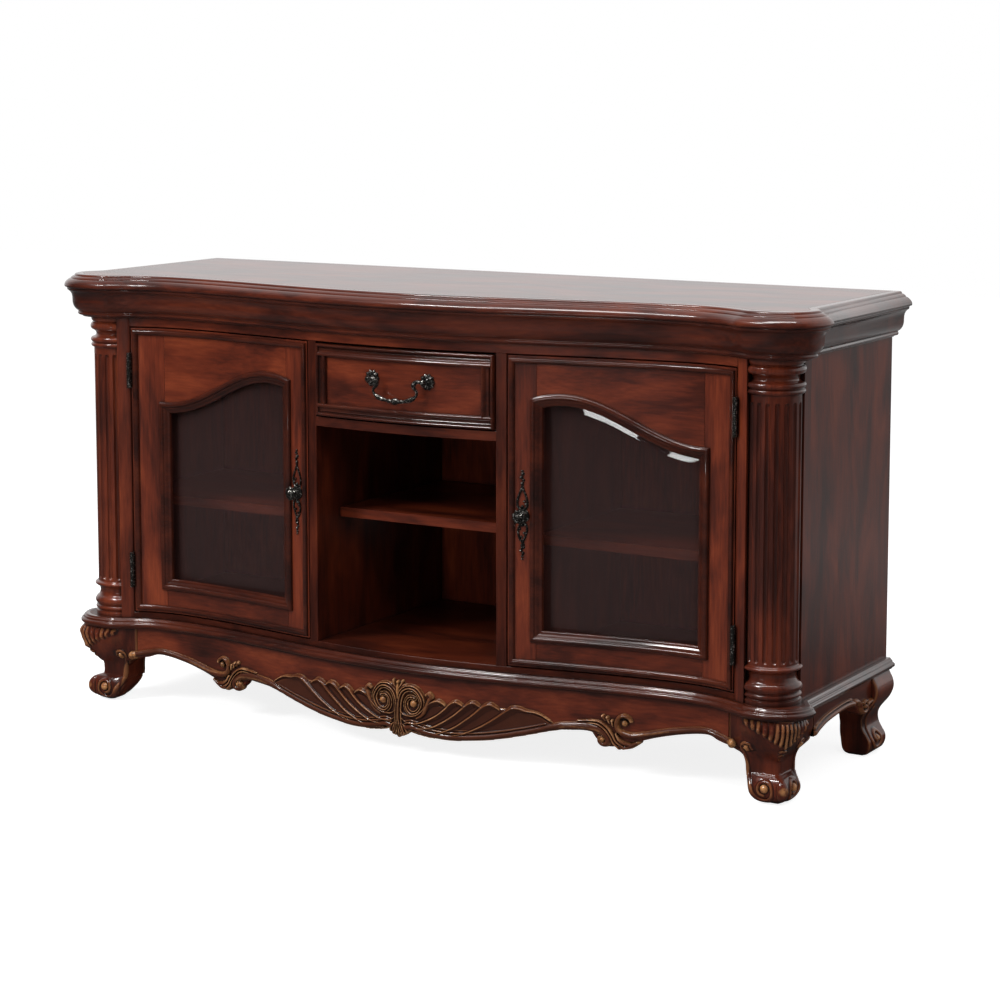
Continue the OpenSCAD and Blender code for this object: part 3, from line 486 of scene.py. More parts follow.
def wood(name, along, tone=1, corner_shade=0.75, seed=0, worn=False, coat=0.6):
    """Lacquered cherry: fine grain along one axis, broad blotches, painted shade in the corners."""
    g = Graph("cherry_" + name)
    grain, flame = stretched(along, 1.2, 16), stretched(along, 2.2, 7)
    fine = g.noise(g.mapped(grain, (seed, seed * 0.7, seed * 1.3)), 14, 6, 0.62, 0.25)
    pores = g.noise(g.mapped(toned(grain, 4), (seed, 0, 0)), 26, 3, 0.6)
    cloud = g.noise(g.mapped(flame, (seed * 2, 3, seed)), 2.1, 3, 0.5, 0.7)
    body = g.math("ADD", g.times(fine, 0.34), g.times(cloud, 0.66))
    shades = ((0.3, DARK), (0.42, MID), (0.53, WARM), (0.68, LIGHT))
    color = g.ramp(body, [(at, toned(shade, tone)) for at, shade in shades])
    color = g.mix(g.times(g.step(pores, 0.42, 0.3), 0.35), color, toned(DARK, tone))
    # Painted shade: darker where ambient occlusion finds corners and creases
    color = g.mix(g.times(g.step(g.crevice(0.012), 0.85, 0.35), corner_shade), color, (0.01, 0.004, 0.003))
    if worn:
        color = g.mix(g.times(g.step(g.stored("ridge"), 0.6, 0.86), 0.45), color, (0.26, 0.105, 0.038))
        color = g.mix(g.gilt(), color, GOLD)
        # Painted shade: darker in the hollows, where the ridge value is low
        color = g.mix(g.times(g.step(g.stored("ridge"), 0.44, 0.22), 0.8), color, (0.012, 0.005, 0.004))
    g.bump(g.math("ADD", pores, fine), 0.06, 0.0006)
    rough = g.math("ADD", 0.24, g.times(fine, 0.14))
    return g.surface(color, Roughness=rough, Specular_IOR_Level=0.25, Coat_Weight=coat, Coat_Roughness=0.06)


def carving_finish(name):
    """Carved wood: painted shade in the hollows, bronze and gold rubbed on the ridges with a painted highlight on
    them.
    """
    g = Graph(name)
    patch = g.noise(g.mapped(), 55, 4, 0.6)
    # By the ridge value: painted shade in the hollows, rubbed bronze with a painted highlight on the ridges
    color = g.ramp(g.stored("ridge"), [
        (0.28, (0.008, 0.003, 0.0025)), (0.46, (0.036, 0.0095, 0.005)), (0.6, (0.066, 0.0175, 0.0072)),
        (0.77, (0.15, 0.056, 0.021)), (0.96, (0.36, 0.18, 0.082))])
    color = g.mix(g.times(g.step(patch, 0.42, 0.62), 0.4), color, (0.034, 0.01, 0.0055))
    color = g.mix(g.gilt(), color, GOLD)
    # Painted shade in the crevices
    color = g.mix(g.times(g.step(g.crevice(0.01), 0.85, 0.3), 0.85), color, (0.006, 0.0025, 0.002))
    g.bump(patch, 0.12, 0.0008)
    return g.surface(color, Roughness=0.3, Specular_IOR_Level=0.2, Coat_Weight=0.5, Coat_Roughness=0.08)


def pewter(name):
    """Antique hardware: near black in the hollows, rubbed bright in small scattered spots."""
    g = Graph(name)
    spot = g.noise(g.mapped(), 320, 3, 0.6)
    color = g.mix(g.step(g.crevice(0.004), 0.35, 0.95), (0.004, 0.004, 0.004), (0.045, 0.042, 0.038))
    color = g.mix(g.step(spot, 0.56, 0.64), color, (0.55, 0.53, 0.49))
    g.bump(spot, 0.35, 0.0008)
    return g.surface(color, Metallic=0.9, Roughness=0.3)


def plain_wood(name, tone):
    """Thinly lacquered secondary wood of the drawer box and the hidden rails, with its grain along x."""
    g = Graph(name)
    fine = g.noise(g.mapped(stretched("x", 1.2, 14)), 12, 5, 0.6)
    color = g.ramp(fine, [(0.3, toned((0.018, 0.0065, 0.005), tone)), (0.7, toned((0.06, 0.018, 0.011), tone))])
    g.bump(fine, 0.05, 0.0006)
    return g.surface(color, Roughness=0.42, Coat_Weight=0.25, Coat_Roughness=0.25)


def glass(name):
    """Thin hazy pane: mostly see-through, with a dark body and a mirror-like skin."""
    g = Graph(name)
    g.bump(g.noise(g.mapped(), 3, 2, 0.5), 0.02, 0.002)
    return g.surface((0.062, 0.031, 0.029), Roughness=0.02, IOR=2.4, Alpha=0.2)


wood_x, wood_z = wood("rails", "x"), wood("stiles", "z", seed=3)
wood_door = wood("door_panels", "z", 1.12, seed=7)
wood_side = wood("side", "z", 1.05, corner_shade=0.3, seed=11)
wood_top = wood("top", "x", 0.9, corner_shade=0.2, seed=5)
moulded = wood("mouldings", "x", 0.68, corner_shade=0.95, seed=2, coat=0.9)
moulded_dark = wood("dark_mouldings", "x", 0.45, corner_shade=1, seed=4, coat=0.9)
turned_wood = wood("columns", "z", 0.95, corner_shade=0.95, seed=13, coat=0.9)
leg_wood = wood("legs", "z", 0.9, corner_shade=0.9, seed=17, worn=True)
carved, metal = carving_finish("carved_bronze"), pewter("antique_pewter")
inside_x = plain_wood("drawer_wood", 3.4)
# Darker copies of the cherry: painted shade on the floor boards and the inner walls of the bay
painted_shade_floor = wood("floor", "x", 0.5, seed=23, coat=0)
painted_shade_walls = wood("inner_walls", "z", 0.62, seed=29, coat=0)
shelf_wood = wood("shelves", "x", 1.05, corner_shade=0.4, seed=31, coat=0.2)
# A lighter copy of the cherry: painted light on the back boards inside
painted_light_back = wood("back", "z", 1.9, corner_shade=0.5, seed=37, coat=0)
deck_wood = wood("deck", "x", 0.7, seed=41)
clear = glass("bevelled_glass")

# ---- plan lines
def front_line(half, n):
    """The front in plan, from right to left."""
    return [(x, float(face(x))) for x in span(half, -half, n)]


lobe = [(SIDE_X, LOBE_Y + LOBE_R + LOBE_CANT)] + [
    (LOBE_X + LOBE_FLAT + LOBE_R * cos(t), LOBE_Y + LOBE_R - LOBE_R * sin(t)) for t in span(0, pi / 2, 22)]
other_lobe = [(-x, y) for x, y in reversed(lobe)]
plan = np.array([(SIDE_X, BACK_Y)] + lobe + front_line(LOBE_X, 230) + other_lobe + [(-SIDE_X, BACK_Y)])

# ---- top, cornice, plinth
def moulding(name, node, profile, top, soft, material):
    """A moulding along the plan line: profile points are (out, down from the top)."""
    section = rounded([(out, top - down) for out, down in profile], soft, 2, True)
    add(name, [swept(plan, section)], "carcass", material, [node])


add("top_board", [prism(plan, CARCASS_TOP, HEIGHT, 0.4)], "carcass", wood_top, ["top_panel"])
moulding("top_edge", "top_edge_moulding", [
    (0.2, 0.4), (0.6, 0), (13.4, 0), (15.6, 0.6), (17, 2.2), (17.4, 4), (20.6, 5), (24.4, 7.6), (24.8, 9.4),
    (26.6, 9.7), (29.6, 11.4), (33, 14), (35.8, 17.2), (37.2, 20.6), (37.5, 23), (36.5, 25.3), (33.2, 26), (32.8, 27),
    (0.2, 27)], HEIGHT, 0.7, moulded)
moulding("crown", "crown_moulding", [
    (0, 27.1), (32.4, 27.1), (31.6, 31.4), (28.4, 33.4), (25.4, 36.6), (23.4, 40.4), (22.4, 45), (22.1, 51),
    (22, 55.5), (21.2, 60), (19.6, 64.4), (17, 68.2), (14.2, 70.9), (11.4, 72.4), (11, 74.2), (12.2, 76.6),
    (11.6, 79), (9, 80.8), (5.6, 81.4), (3.4, 82), (2.6, 84), (0, 84)], HEIGHT, 0.9, moulded)
moulding("plinth", "plinth_moulding", [
    (0.05, 0), (7.8, 0), (8.6, 1.2), (9.8, 3), (12, 4), (12.6, 6.6), (13.2, 7.6), (16, 9), (17.3, 11), (17.5, 12.8),
    (17, 15), (15.4, 16.6), (12.6, 17.4), (12.2, 20), (0.05, 20)], PLINTH_TOP, 0.5, moulded_dark)

# ---- carcass boards
inner_line = np.array([(SIDE_IN, BACK_Y), (SIDE_IN, POST_FRONT), (STILE_IN, POST_FRONT)]
                      + front_line(STILE_IN, 220)
                      + [(-STILE_IN, POST_FRONT), (-SIDE_IN, POST_FRONT), (-SIDE_IN, BACK_Y)])
add("base_board", [prism(plan, BASE_Z, PLINTH_TOP, 0.3), prism(inner_line, PLINTH_TOP, FLOOR_Z, 0.8)],
    "carcass", painted_shade_floor, ["bottom_panel"])
deck_line = np.array(front_line(BAY_HALF, 60) + [(-BAY_HALF, PANEL_Y), (BAY_HALF, PANEL_Y)])
add("deck_board", [prism(deck_line, DECK_Z, DECK_TOP, 0.8)], "carcass", deck_wood, ["drawer_deck"])
add("rail_board", [board(-STILE_IN, STILE_IN, RAIL_Z, CARCASS_TOP, 0, FRAME_T)], "carcass", wood_x,
    ["top_rail"])
for side, sign in (("left", -1), ("right", 1)):
    ends = sorted((sign * STILE_IN, sign * STILE_EDGE))
    add(f"{side}_stile_board", [board(*ends, PLINTH_TOP, CARCASS_TOP, 0, FRAME_T, step=4)], "carcass", wood_z,
        [f"{side}_stile"])

# ---- columns
# Profile points are (height, radius)
base_turn = [
    (172.5, 52), (180, 52.2), (181.4, 51), (182.6, 49.6), (184.4, 50.6), (187.6, 52.6), (190.8, 51.6), (192.6, 49.6),
    (194.6, 50.6), (198, 52.8), (201, 53.4), (204.6, 52.8), (208, 50.6), (210, 48.4), (212.4, 46), (217, 44),
    (222.5, 43.4), (227.4, 45), (230.2, 48), (231.4, 50.4), (233.2, 52.6), (235.4, 53.4), (237.4, 52.4), (238.8, 50),
    (240, 47.6), (241.4, COL_R)]
cap_turn = [
    (697.6, COL_R), (705.4, COL_R), (706.8, 48.4), (708.4, 51), (711.4, 52.6), (714.4, 51.4), (716, 49.4),
    (717.6, 51), (721.4, 53.2), (725.6, 51.8), (727.4, 48.4), (729, 44.6), (731.8, 42.4), (736, 42.8), (739.6, 45.8),
    (741.4, 49.2), (744, 52.2), (748.4, 53.4), (753, 52), (755.4, 49.8), (757, 48.4), (759.4, 50.4), (763, 51.6),
    (767, 51.8)]
FLUTES, FLUTE_R, FLUTE_Z, FLUTE_TOP, SHAFT_Z, SHAFT_TOP = 18, 4.9, 250.5, 688.5, 240, 700
shaft = [[z, COL_R] for z in (*span(243, 696, 60), *span(245, 251, 6), *span(688, 694, 6))]
profile = sorted(catmull(base_turn, 3).tolist() + shaft + catmull(cap_turn, 3).tolist())
pitch = 2 * pi / FLUTES
offs = np.array([
    -0.5, -0.38, -0.3, -0.27, -0.24, -0.2, -0.14, -0.07, 0, 0.07, 0.14, 0.2, 0.24, 0.27, 0.3, 0.38])
angles = (np.arange(FLUTES)[:, None] * pitch + offs[None] * pitch).ravel()
arc = np.tile(offs * pitch * COL_R, FLUTES)
rings = []
for z, r in profile:
    over = max(0, FLUTE_Z - z, z - FLUTE_TOP)
    cut = np.sqrt(np.clip(FLUTE_R ** 2 - arc ** 2 - over ** 2 * 0.8, 0, None)) - 1
    rr = r - np.clip(cut, 0, None) * (SHAFT_Z < z < SHAFT_TOP)
    y = np.minimum(rr * np.sin(angles), POST_Y - COL_Y - 0.1)
    rings.append(np.stack([COL_X + rr * np.cos(angles), COL_Y + y, np.full(len(angles), z)], 1))
for side, parts in both_sides(lofted(rings)):
    add(f"{side}_turned_column", parts, "carcass", turned_wood, [f"{side}_column"], angle=40)

# ---- front apron and its carving
edge_points = [
    (0, 38), (14, 45), (24, 49), (44, 45), (70, 40.5), (105, 39), (150, 43), (200, 51), (255, 64), (300, 76),
    (345, 84.5), (372, 84), (386, 69), (404, 58), (424, 59), (440, 67), (462, 71), (500, 83), (550, 95), (598, 102),
    (622, 96), (644.8, 93), (668, 92)]
contour = catmull(edge_points, 12)
foot = lambda x: np.interp(np.abs(x), contour[:, 0], contour[:, 1])
add("apron_board", [board(-JOINT_X, JOINT_X, foot, BASE_Z, -APRON_OUT, APRON_T - APRON_OUT, edge=0.9, step=2)],
    "carcass", wood_x, ["front_apron"])

rim = [(x, float(foot(x)) + 5.2) for x in range(16, 352, 12)]
beside = lambda up: [(x, z + up) for x, z in rim[:24]]
# Leaf ridges: they leave the middle together, sweep up to the right and hook over at their tips
leaves = [
    ([(4, 88), (9, 79), (18, 75), (35, 76), (49, 84), (61, 96), (72, 105), (84, 109), (93, 106), (99, 101)],
     (2, 4.5, 6.5, 8, 4), (6.5, 7.5, 8.5, 9, 5)),
    ([(5, 70), (19, 62), (40, 62), (63, 71), (84, 83), (100, 96), (110, 106), (120, 111), (129, 108), (136, 103)],
     (2, 4.5, 7.5, 9, 4), (6.5, 7.5, 8.5, 9, 5)),
    ([(5, 60), (21, 52.5), (47, 53), (70, 58), (92, 69), (115, 84), (133, 99), (146, 110), (156, 113),
      (165, 109), (171, 104)], (2, 4.5, 7.5, 10, 4), (6, 7, 8.5, 9, 5)),
    ([(30, 46), (52, 45), (76, 46), (100, 55), (120, 65), (140, 79), (158, 93), (174, 107), (187, 113),
      (197, 110), (205, 105)], (1.8, 4.5, 8, 10.5, 4), (5, 6.5, 8, 9, 5)),
    ([(70, 45), (95, 44.5), (120, 49), (145, 58), (169, 70), (186, 80), (202, 91), (217, 102), (230, 110),
      (243, 111), (256, 108), (270, 107), (284, 103), (300, 94)], (1.8, 4.5, 8.5, 10.5, 5, 3),
     (4.6, 6.4, 8, 9, 7, 4))]
reeds = [
    # the volute's band
    ([(9, 40), (5, 51), (2, 64), (1.5, 77), (3, 101), (10, 118), (24, 126), (39, 123), (50, 109), (51, 96),
      (42, 83), (29, 79.5), (19, 88), (18, 101), (26, 110), (37, 109)], (5.6, 7.6, 8.4, 7.6, 7.6, 7.2, 6.4, 5.6),
     (7, 8.4, 9, 9, 8.6, 8.2, 7.6, 7)),
    # the husk's middle
    ([(1, 66), (2, 50), (2, 40), (0, 33)], (2.6, 4.4, 4, 2), (8, 8.6, 7, 5))]
# The volutes' eyes, the finial and its ball, the scrolls' eyes and the drop at the end
bosses = domes((33, 98, 7.2, 9), (0, 135, 3.6, 8), (399, 70, 5.4, 9), (440, 103, 6, 8.6), (652, 98, 8, 9))
bosses.append(([(0, 106), (0, 122), (0, 134)], (2.6, 3.6, 2.4), (7, 9, 6), "dome"))
strokes = [(*leaf, "leaf") for leaf in leaves] + [(*reed, "reed") for reed in reeds] + bosses + beads(
    (rim, (5.6, 5.4, 5.2), (6.4, 6.2, 5.8)),
    (beside(8.2), (3, 2.6, 2.2), (6.2, 5.4, 4)),
    (beside(13)[:12], (2.6, 1.6), (5.4, 3.4)),
    # the curled leaf beside the volute
    ([(40, 72), (51, 79), (59, 92), (66, 105), (70, 114), (66, 120), (60, 117)], (3, 5, 6, 4.6, 3.2),
     (6, 8, 9, 8.4, 7)),
    # the finial's leaves and the husk that hangs below it
    ([(2, 124), (8, 131), (10, 138)], (2, 3.2, 2.6), (6, 8, 6)),
    ([(2, 118), (12, 130), (19, 131)], (1.8, 2.6, 2.4), (5, 7, 5)),
    ([(0.5, 104), (0.5, 84), (0.5, 66)], (2, 2.6, 2), (6, 7.6, 6)),
    ([(6, 58), (10, 47), (10, 38)], (2.2, 3.4, 2.2), (6.6, 7, 5)),
    ([(12, 56), (17, 48), (18, 42)], (2, 3, 2), (6, 6.4, 4.6)),
    # stem that thickens into the lower scroll, its fillets, the husk and the upper scroll
    ([(250, 68), (280, 76), (300, 82), (320, 86.5), (344, 89), (366, 90.5), (388, 87), (401, 80), (409, 71.5),
      (407, 64), (399.5, 61.5), (393.4, 66), (393.4, 73), (399, 76)], (3, 5.5, 7.6, 8.2, 7.6, 6.4, 5.2, 4.4, 3.6),
     (5, 7, 8, 8.4, 8.6, 8.8, 8.6, 8, 7.6)),
    ([(352, 99.5), (388, 102), (407, 93), (418, 79), (425, 68), (437, 60.5)], (1.8, 2.6, 3, 3.4), (5, 7, 7.6, 7)),
    ([(362, 96), (386, 97), (402, 89.5), (413, 77), (420, 65), (429, 57)], (1.6, 2.2, 3, 3.4), (5, 7, 7.8, 7)),
    ([(424, 82), (430, 72), (440, 66), (452, 64)], (2.4, 3.8, 4.6, 3.4), (7, 8, 7.4, 6)),
    ([(432, 60), (441, 58), (452, 63), (464, 70)], (4.2, 4.6, 4.2, 3), (6.6, 7, 6.6, 5.4)),
    ([(451.5, 107), (448, 112.5), (438, 116), (429, 111.5), (424.5, 101), (427.5, 90.5), (437, 84), (452, 81.5),
      (474, 84.5), (500, 91), (524, 97), (550, 102), (576, 107), (598, 109), (622, 105), (642, 101), (655, 97.5)],
     (2.6, 3.8, 5, 6.2, 6.4, 6, 5.6, 5.4), (7, 8.6, 9, 8.8, 8, 7.4, 7.2, 7)),
    ([(399, 112), (404, 106)], (3.6, 2.4), (7.6, 6)),
    ([(407, 110), (411, 101)], (3.4, 2), (7.6, 6)),
    ([(416, 105), (418, 96)], (2.8, 2), (7, 6)))

U, T = np.meshgrid(span(0, 664, 760), span(0, 1, 136), indexing="ij")
low = foot(U) - 1.4
V = low - 10 + (CARVING_TOP - low) * T
# Height of the ground between the leaves
crest_line = (
    [14, 60, 90, 130, 170, 212, 243, 270, 286, 300, 312, 322],
    [100, 100, 104, 108, 110, 110, 110, 106, 101, 93, 88, 84])
inside = np.minimum(np.interp(U, *crest_line) - 2 - V, V - low)
ground = 2.6 * np.clip(inside / 3, 0, 1) * np.clip((320 - U) / 6, 0, 1)
# Painted highlight along the middle of the scroll bands, put into the gilt
painted_highlight_bands = beads(
    ([(320, 85), (344, 88.5), (388, 86.5), (401, 79)], (2,), (9,)),
    ([(448, 111), (437, 114), (430, 109), (427, 99), (431, 91), (440, 87), (474, 87), (524, 98)], (1.8,), (9,)),
    ([(56, 84), (62, 98), (67, 110)], (2.6,), (9,)))
H = np.maximum(relief(U, V, strokes), ground)
# gilt: rubbed gold on the bosses, painted highlight along the bands
gilt = np.maximum(np.where(relief(U, V, bosses) > 3, 0.8, 0), 0.028 * relief(U, V, painted_highlight_bands))
Y = np.where(H < LEVEL, face(U) - APRON_OUT + 0.5, face(U) - APRON_OUT - H)
pts, q, used = skin(np.stack([U, Y, V], 2), H, FAINT)
carving = add("apron_relief", [(pts, q, []), (pts * (-1, 1, 1), q[:, ::-1], [])], "carcass", carved,
              ["apron_carving"], angle=60, outward=False)
store(carving, "gilt", np.tile(gilt.ravel()[used], 2))
seat(carving, 1, FRONT_RIM, halves=True)
mark_ridges(carving, 3, 0.8)

# ---- side aprons
side_edge = [
    (0, 101), (0.06, 107), (0.2, 115), (0.45, 120), (0.62, 119), (0.72, 112), (0.78, 97), (0.86, 93), (0.93, 103),
    (1, 105)]
side_line = catmull([(SIDE_JOINT + t * (REAR_JOINT - SIDE_JOINT), z) for t, z in side_edge], 10)
x0, x1 = SIDE_X + APRON_OUT - APRON_T, SIDE_X + APRON_OUT
rings = [[(x1, y, z + 0.9), (x1, y, BASE_Z), (x0, y, BASE_Z), (x0, y, z), (x1 - 0.9, y, z)] for y, z in side_line]
side_boards = both_sides(lofted(rings))
side_foot = lambda y: np.interp(y, side_line[:, 0], side_line[:, 1])
SU, ST = np.meshgrid(span(SIDE_JOINT, REAR_JOINT, 250), span(0, 1, 40), indexing="ij")
SV = side_foot(SU) - 1 + 44 * ST
side_strokes = domes((140, 107, 5, 8)) + beads(
    ([(y, float(side_foot(y)) + 5) for y in range(-80, 100, 10)], (5.4, 5), (6, 6)),
    ([(y, float(side_foot(y)) + 13) for y in range(-80, 90, 10)], (2.4, 2.2), (3.6, 3.6)),
    ([(96, 124), (108, 122), (118, 114), (124, 103), (134, 97), (145, 99), (149, 108), (143, 116), (135, 113)],
     (4.6, 4.6, 4, 3.2), (6, 7.4, 7.4, 6)),
    ([(152, 106), (164, 109), (176, 110)], (4, 4.4), (5, 5.6)))
SH = relief(SU, SV, side_strokes)
pts, q, _ = skin(np.stack([np.where(SH < LEVEL, x1 - 0.5, x1 + SH), SU, SV], 2), SH, FAINT)
for (side, parts), sign in zip(side_boards, (-1, 1)):
    add(f"{side}_apron_board", parts, "carcass", wood("side_apron_" + side, "y", 0.9, seed=19),
        [f"{side}_apron"])
    trim = add(f"{side}_apron_relief", [(pts * (sign, 1, 1), q, [])], "carcass", leg_wood,
               angle=60, outward=False)
    seat(trim, 0, -sign * SIDE_RIM)
    mark_ridges(trim, 3, 0.5)

# ---- front legs
def add_legs(end, points, gilt):
    """A pair of legs from rings of points, with the gold rubbed on their carving."""
    for side, parts in both_sides(lofted(points)):
        leg = add(f"{end}_{side}_cabriole", parts, "carcass", leg_wood, [f"{end}_{side}_leg"],
                  angle=50)
        mark_ridges(leg, 3, 0.35)
        store(leg, "gilt", gilt)


# Height, then the leg's corners as x, y from the column's axis: inner front corner, front, toe corner and its
# radius, side, side again, rear side corner, heel corner
leg_table = [
    (0, 16, -20, 20, -26, 29, -29, 14, 26, -20, 23, -18, 20, -16, 10, -10),
    (3, 0, -33, 2, -36, 36, -36, 14, 36, -4, 35, -2, 33, 0, 2, -2),
    (9, -11, -37, -9, -42, 43.5, -43.5, 13, 42, 8, 40, 10, 37, 11, -8, 8),
    (18, -18, -38, -15, -46, 48.5, -48.5, 12, 46, 14, 43, 16, 38, 18, -16, 16),
    (28, -23.5, -36.5, -16, -46.5, 49.5, -49.5, 11, 46.5, 15, 42, 19, 36.5, 23.5, -23, 23),
    (37, -26, -34.5, -12, -45, 48.3, -48.3, 11, 45, 11, 41, 18, 34.5, 26, -27.5, 27.5),
    (43, -27.5, -33, -5, -42.5, 45, -45, 9, 42.5, 5, 38, 16, 33, 27.5, -28.5, 28.5),
    (46.8, -29, -32, 0, -38.5, 41, -41, 8, 38.5, 0, 35, 16, 32, 29, -29, 29),
    (49.5, -30, -31, 0, -32, 32.8, -32.8, 10, 32, 0, 31.5, 16, 31, 30, -29, 29),
    (53, -30.5, -31, 0, -30, 30.8, -30.8, 11, 30, 0, 30.5, 16, 31, 30.5, -29.2, 29.2),
    (63, -31, -31, 0, -30, 30.8, -30.8, 12, 30, 0, 30.5, 16, 31, 31, -29.5, 29.5),
    (74, -35, -31.5, -2, -31, 32, -32, 12, 31, 2, 31.5, 18, 31.5, 35, -30, 30),
    (83, -44, -33, -5, -35, 37.5, -37.5, 11, 36, 5, 35, 24, 34, 44, -31, 31),
    (90, -55, -34.6, -8, -39, 42.3, -42.3, 10, 40.5, 8, 39, 30, 38.5, 54, -33, 33),
    (97, -62, -35.8, -10, -43.5, 46.6, -46.6, 9, 45, 8, 43.5, 32, 44, 61, -36, 36),
    (109, -63, -36, -13, -50.5, 53.5, -53.5, 12, 52, 4, 49, 32, 50, 63, -40, 42),
    (120, -63, -36, -16, -56.5, 60, -58, 19, 59, 0, 52, 30, 53, 63, -42, 46),
    (131, -63, -36, -17.5, -60, 66, -62, 29, 65, -3, 53, 28, 53, 63, -43, 48),
    (141, -63, -36, -17.5, -60.5, 68, -62, 37, 67, -4, 53, 28, 53, 63, -43, 48),
    (152.4, -63, -36, -17.5, -58.5, 64, -58.5, 44, 64, -4, 53, 28, 53, 63, -43, 48)]
rows = catmull(leg_table, 12)
rows[:, 0] = np.maximum.accumulate(rows[:, 0])


def rounded_ring(corners, radii, flats, bends):
    """A closed section with a fixed number of points for each side and each rounded corner."""
    m, out = len(corners), []
    for i in range(m):
        a, b, c, d = (corners[(i + k) % m] for k in (-1, 0, 1, 2))
        before, here, after = (np.linalg.norm(v) for v in (b - a, c - b, d - c))
        r0 = min(radii[i], here * 0.48, before * 0.48)
        r1 = min(radii[(i + 1) % m], here * 0.48, after * 0.48)
        p, q = b + (c - b) / here * r0, c + (b - c) / here * r1
        e = c + (d - c) / max(after, 1e-6) * r1
        out += [p + (q - p) * t for t in np.arange(flats[i]) / flats[i]]
        out += [(1 - t) ** 2 * q + 2 * t * (1 - t) * c + t * t * e for t in np.arange(bends[i]) / bends[i]]
    return np.array(out)


rings = []
for row in rows:
    z, pts, r = row[0], np.delete(row, (0, 7)).reshape(7, 2), row[7]
    soft = 4 + 26 * min(1, max(0, (z - 60) / 60))
    rings.append(rounded_ring(pts, (5, soft + 6, r, soft + 4, soft, 5, 9), (34, 62, 40, 22, 22, 16, 16),
                              (14, 34, 14, 8, 6, 6, 6)))
rings = np.array(rings)
dx, dy = rings[..., 0], rings[..., 1]
zz = np.repeat(rows[:, :1], rings.shape[1], 1)
S, L = (dx - dy) / sqrt(2), (dx + dy) / sqrt(2)
UU = np.where(L < 0, dx, -dy)
leg_strokes = beads(
    # rim from the scroll under the apron down the inner corner, under the foot and round into the volute
    ([(-17, 93), (-18, 100), (-25, 104), (-33, 101), (-36, 93), (-34, 84), (-30.5, 74), (-28.5, 66), (-27.5, 57),
      (-25.5, 48), (-21, 38), (-16.5, 29), (-12, 18), (-4, 9), (7, 5.5), (18, 8), (25, 16), (26.5, 27), (22, 37.5),
      (12, 41.5), (2.5, 37), (-1.5, 28), (1.5, 20), (9, 16.5)],
     (3, 3.4, 3.6, 4.4, 5, 4, 3.4, 3), (2.8, 3.2, 3.2, 4, 4.6, 4, 3.8, 3.4)),
    ([(-64, 100), (-57, 96), (-50, 91.5), (-43, 88), (-37, 86)], (3.8, 3.6, 3), (3.2, 3.4, 2.4)))
eyes = relief(UU, zz, domes((11, 29, 7.8, 7), (-26, 94, 6.2, 6)))
H = np.maximum(relief(UU, zz, leg_strokes), eyes)
gilt = eyes / 5
al = np.abs(L)
outer = S > 14
H = np.where(outer | (zz > 45), H, H * np.clip((S + 4) / 10, 0, 1))
# ball at the toe with a groove each side
toe = 5.6 * np.sqrt(np.clip(1 - (L / 10.5) ** 2 - ((zz - 27) / 20) ** 2, 0, None)) - 0.4
groove = 3.4 * np.exp(-((al - 12.8) / 2.5) ** 2) * np.exp(-((zz - 27) / 19) ** 4)
on_toe = outer & (zz < 50)
H = np.where(on_toe, np.where(al < 11, np.maximum(toe, 0), H) - groove, H)
gilt = np.where(on_toe & (al < 10), 0.75 * np.clip(1 - ((zz - 29) / 8) ** 2 - (L / 7) ** 2, 0, 1), gilt)
# gadroons hang over the knee in a pointed fan
fan_foot = 101 + 0.55 * al ** 1.05
phase = np.abs(np.cos(pi * (L / 7.6 + 0.5 * np.sin(L / 9) * 0.3)))
into = np.clip((zz - (fan_foot + 8 * (1 - phase))) / 7, 0, 1)
edge_fade = np.clip((62 - al) / 7, 0, 1) * (S > 20)
fan = (5.4 * phase ** 0.8 - 1.2) * into ** 0.6 * np.clip((150 - zz) / 12, 0, 1) ** 0.5 * edge_fade
tips = 2.2 * np.exp(-((zz - fan_foot - 6) / 4.5) ** 2) * phase * edge_fade
gilt = np.maximum(gilt, 0.6 * phase ** 4 * into * np.clip((134 - zz) / 16, 0, 1) * np.clip((40 - al) / 20, 0, 1))
H = H + fan + tips
for z0, rl, rz, hh in ((96.5, 6.5, 4.6, 4), (87, 4.6, 4.2, 3.4), (80, 2.6, 4.5, 2.4)):
    H = np.maximum(H, hh * np.sqrt(np.clip(1 - (L / rl) ** 2 - ((zz - z0) / rz) ** 2, 0, None)) * outer)
way = unit(np.roll(rings, -1, 1) - np.roll(rings, 1, 1))
flip_out = 1 if (way[0, :, 1] * dx[0] - way[0, :, 0] * dy[0]).sum() > 0 else -1
X = COL_X + dx + flip_out * way[..., 1] * H
Y = COL_Y + dy - flip_out * way[..., 0] * H
add_legs("front", np.stack([X, Y, zz], 2), gilt)

# ---- rear legs
rear_table = [
    (0, -44, -14, 14), (4, -50, -5, 9), (11, -54, 0, 7), (20, -55, 3, 5), (30, -56, 2, 4), (40, -57, -4, 3),
    (50, -57, -10, 2), (60, -57, -12.5, 2), (70, -58, -12, 1), (80, -59, -7, 0), (90, -61, 1, 0), (100, -62, 9, 0),
    (111, -64, 15, 0), (123, -66, 18, 0), (135, -66, 16, 0), (145, -66, 11, 0), (152.4, -66, 7, 0)]
rows = catmull(rear_table, 9)
rows[:, 0] = np.maximum.accumulate(rows[:, 0])
ring = rounded([(1, 1), (-1, 1), (-1, -1), (1, -1)], 0.16, 6, True)
dense = []
for a, b in zip(ring, np.roll(ring, -1, 0)):
    n = max(1, int(np.hypot(*(b - a)) / 0.02))
    dense += [a + (b - a) * t for t in span(0, 1, n)[:-1]]
ring = np.array(dense)
lo_x, hi_x = SIDE_X + rows[:, 1:2], SIDE_X + rows[:, 2:3]
lo_y = REAR_JOINT + rows[:, 3:4]
RX = (lo_x + hi_x) / 2 + (hi_x - lo_x) / 2 * ring[None, :, 0]
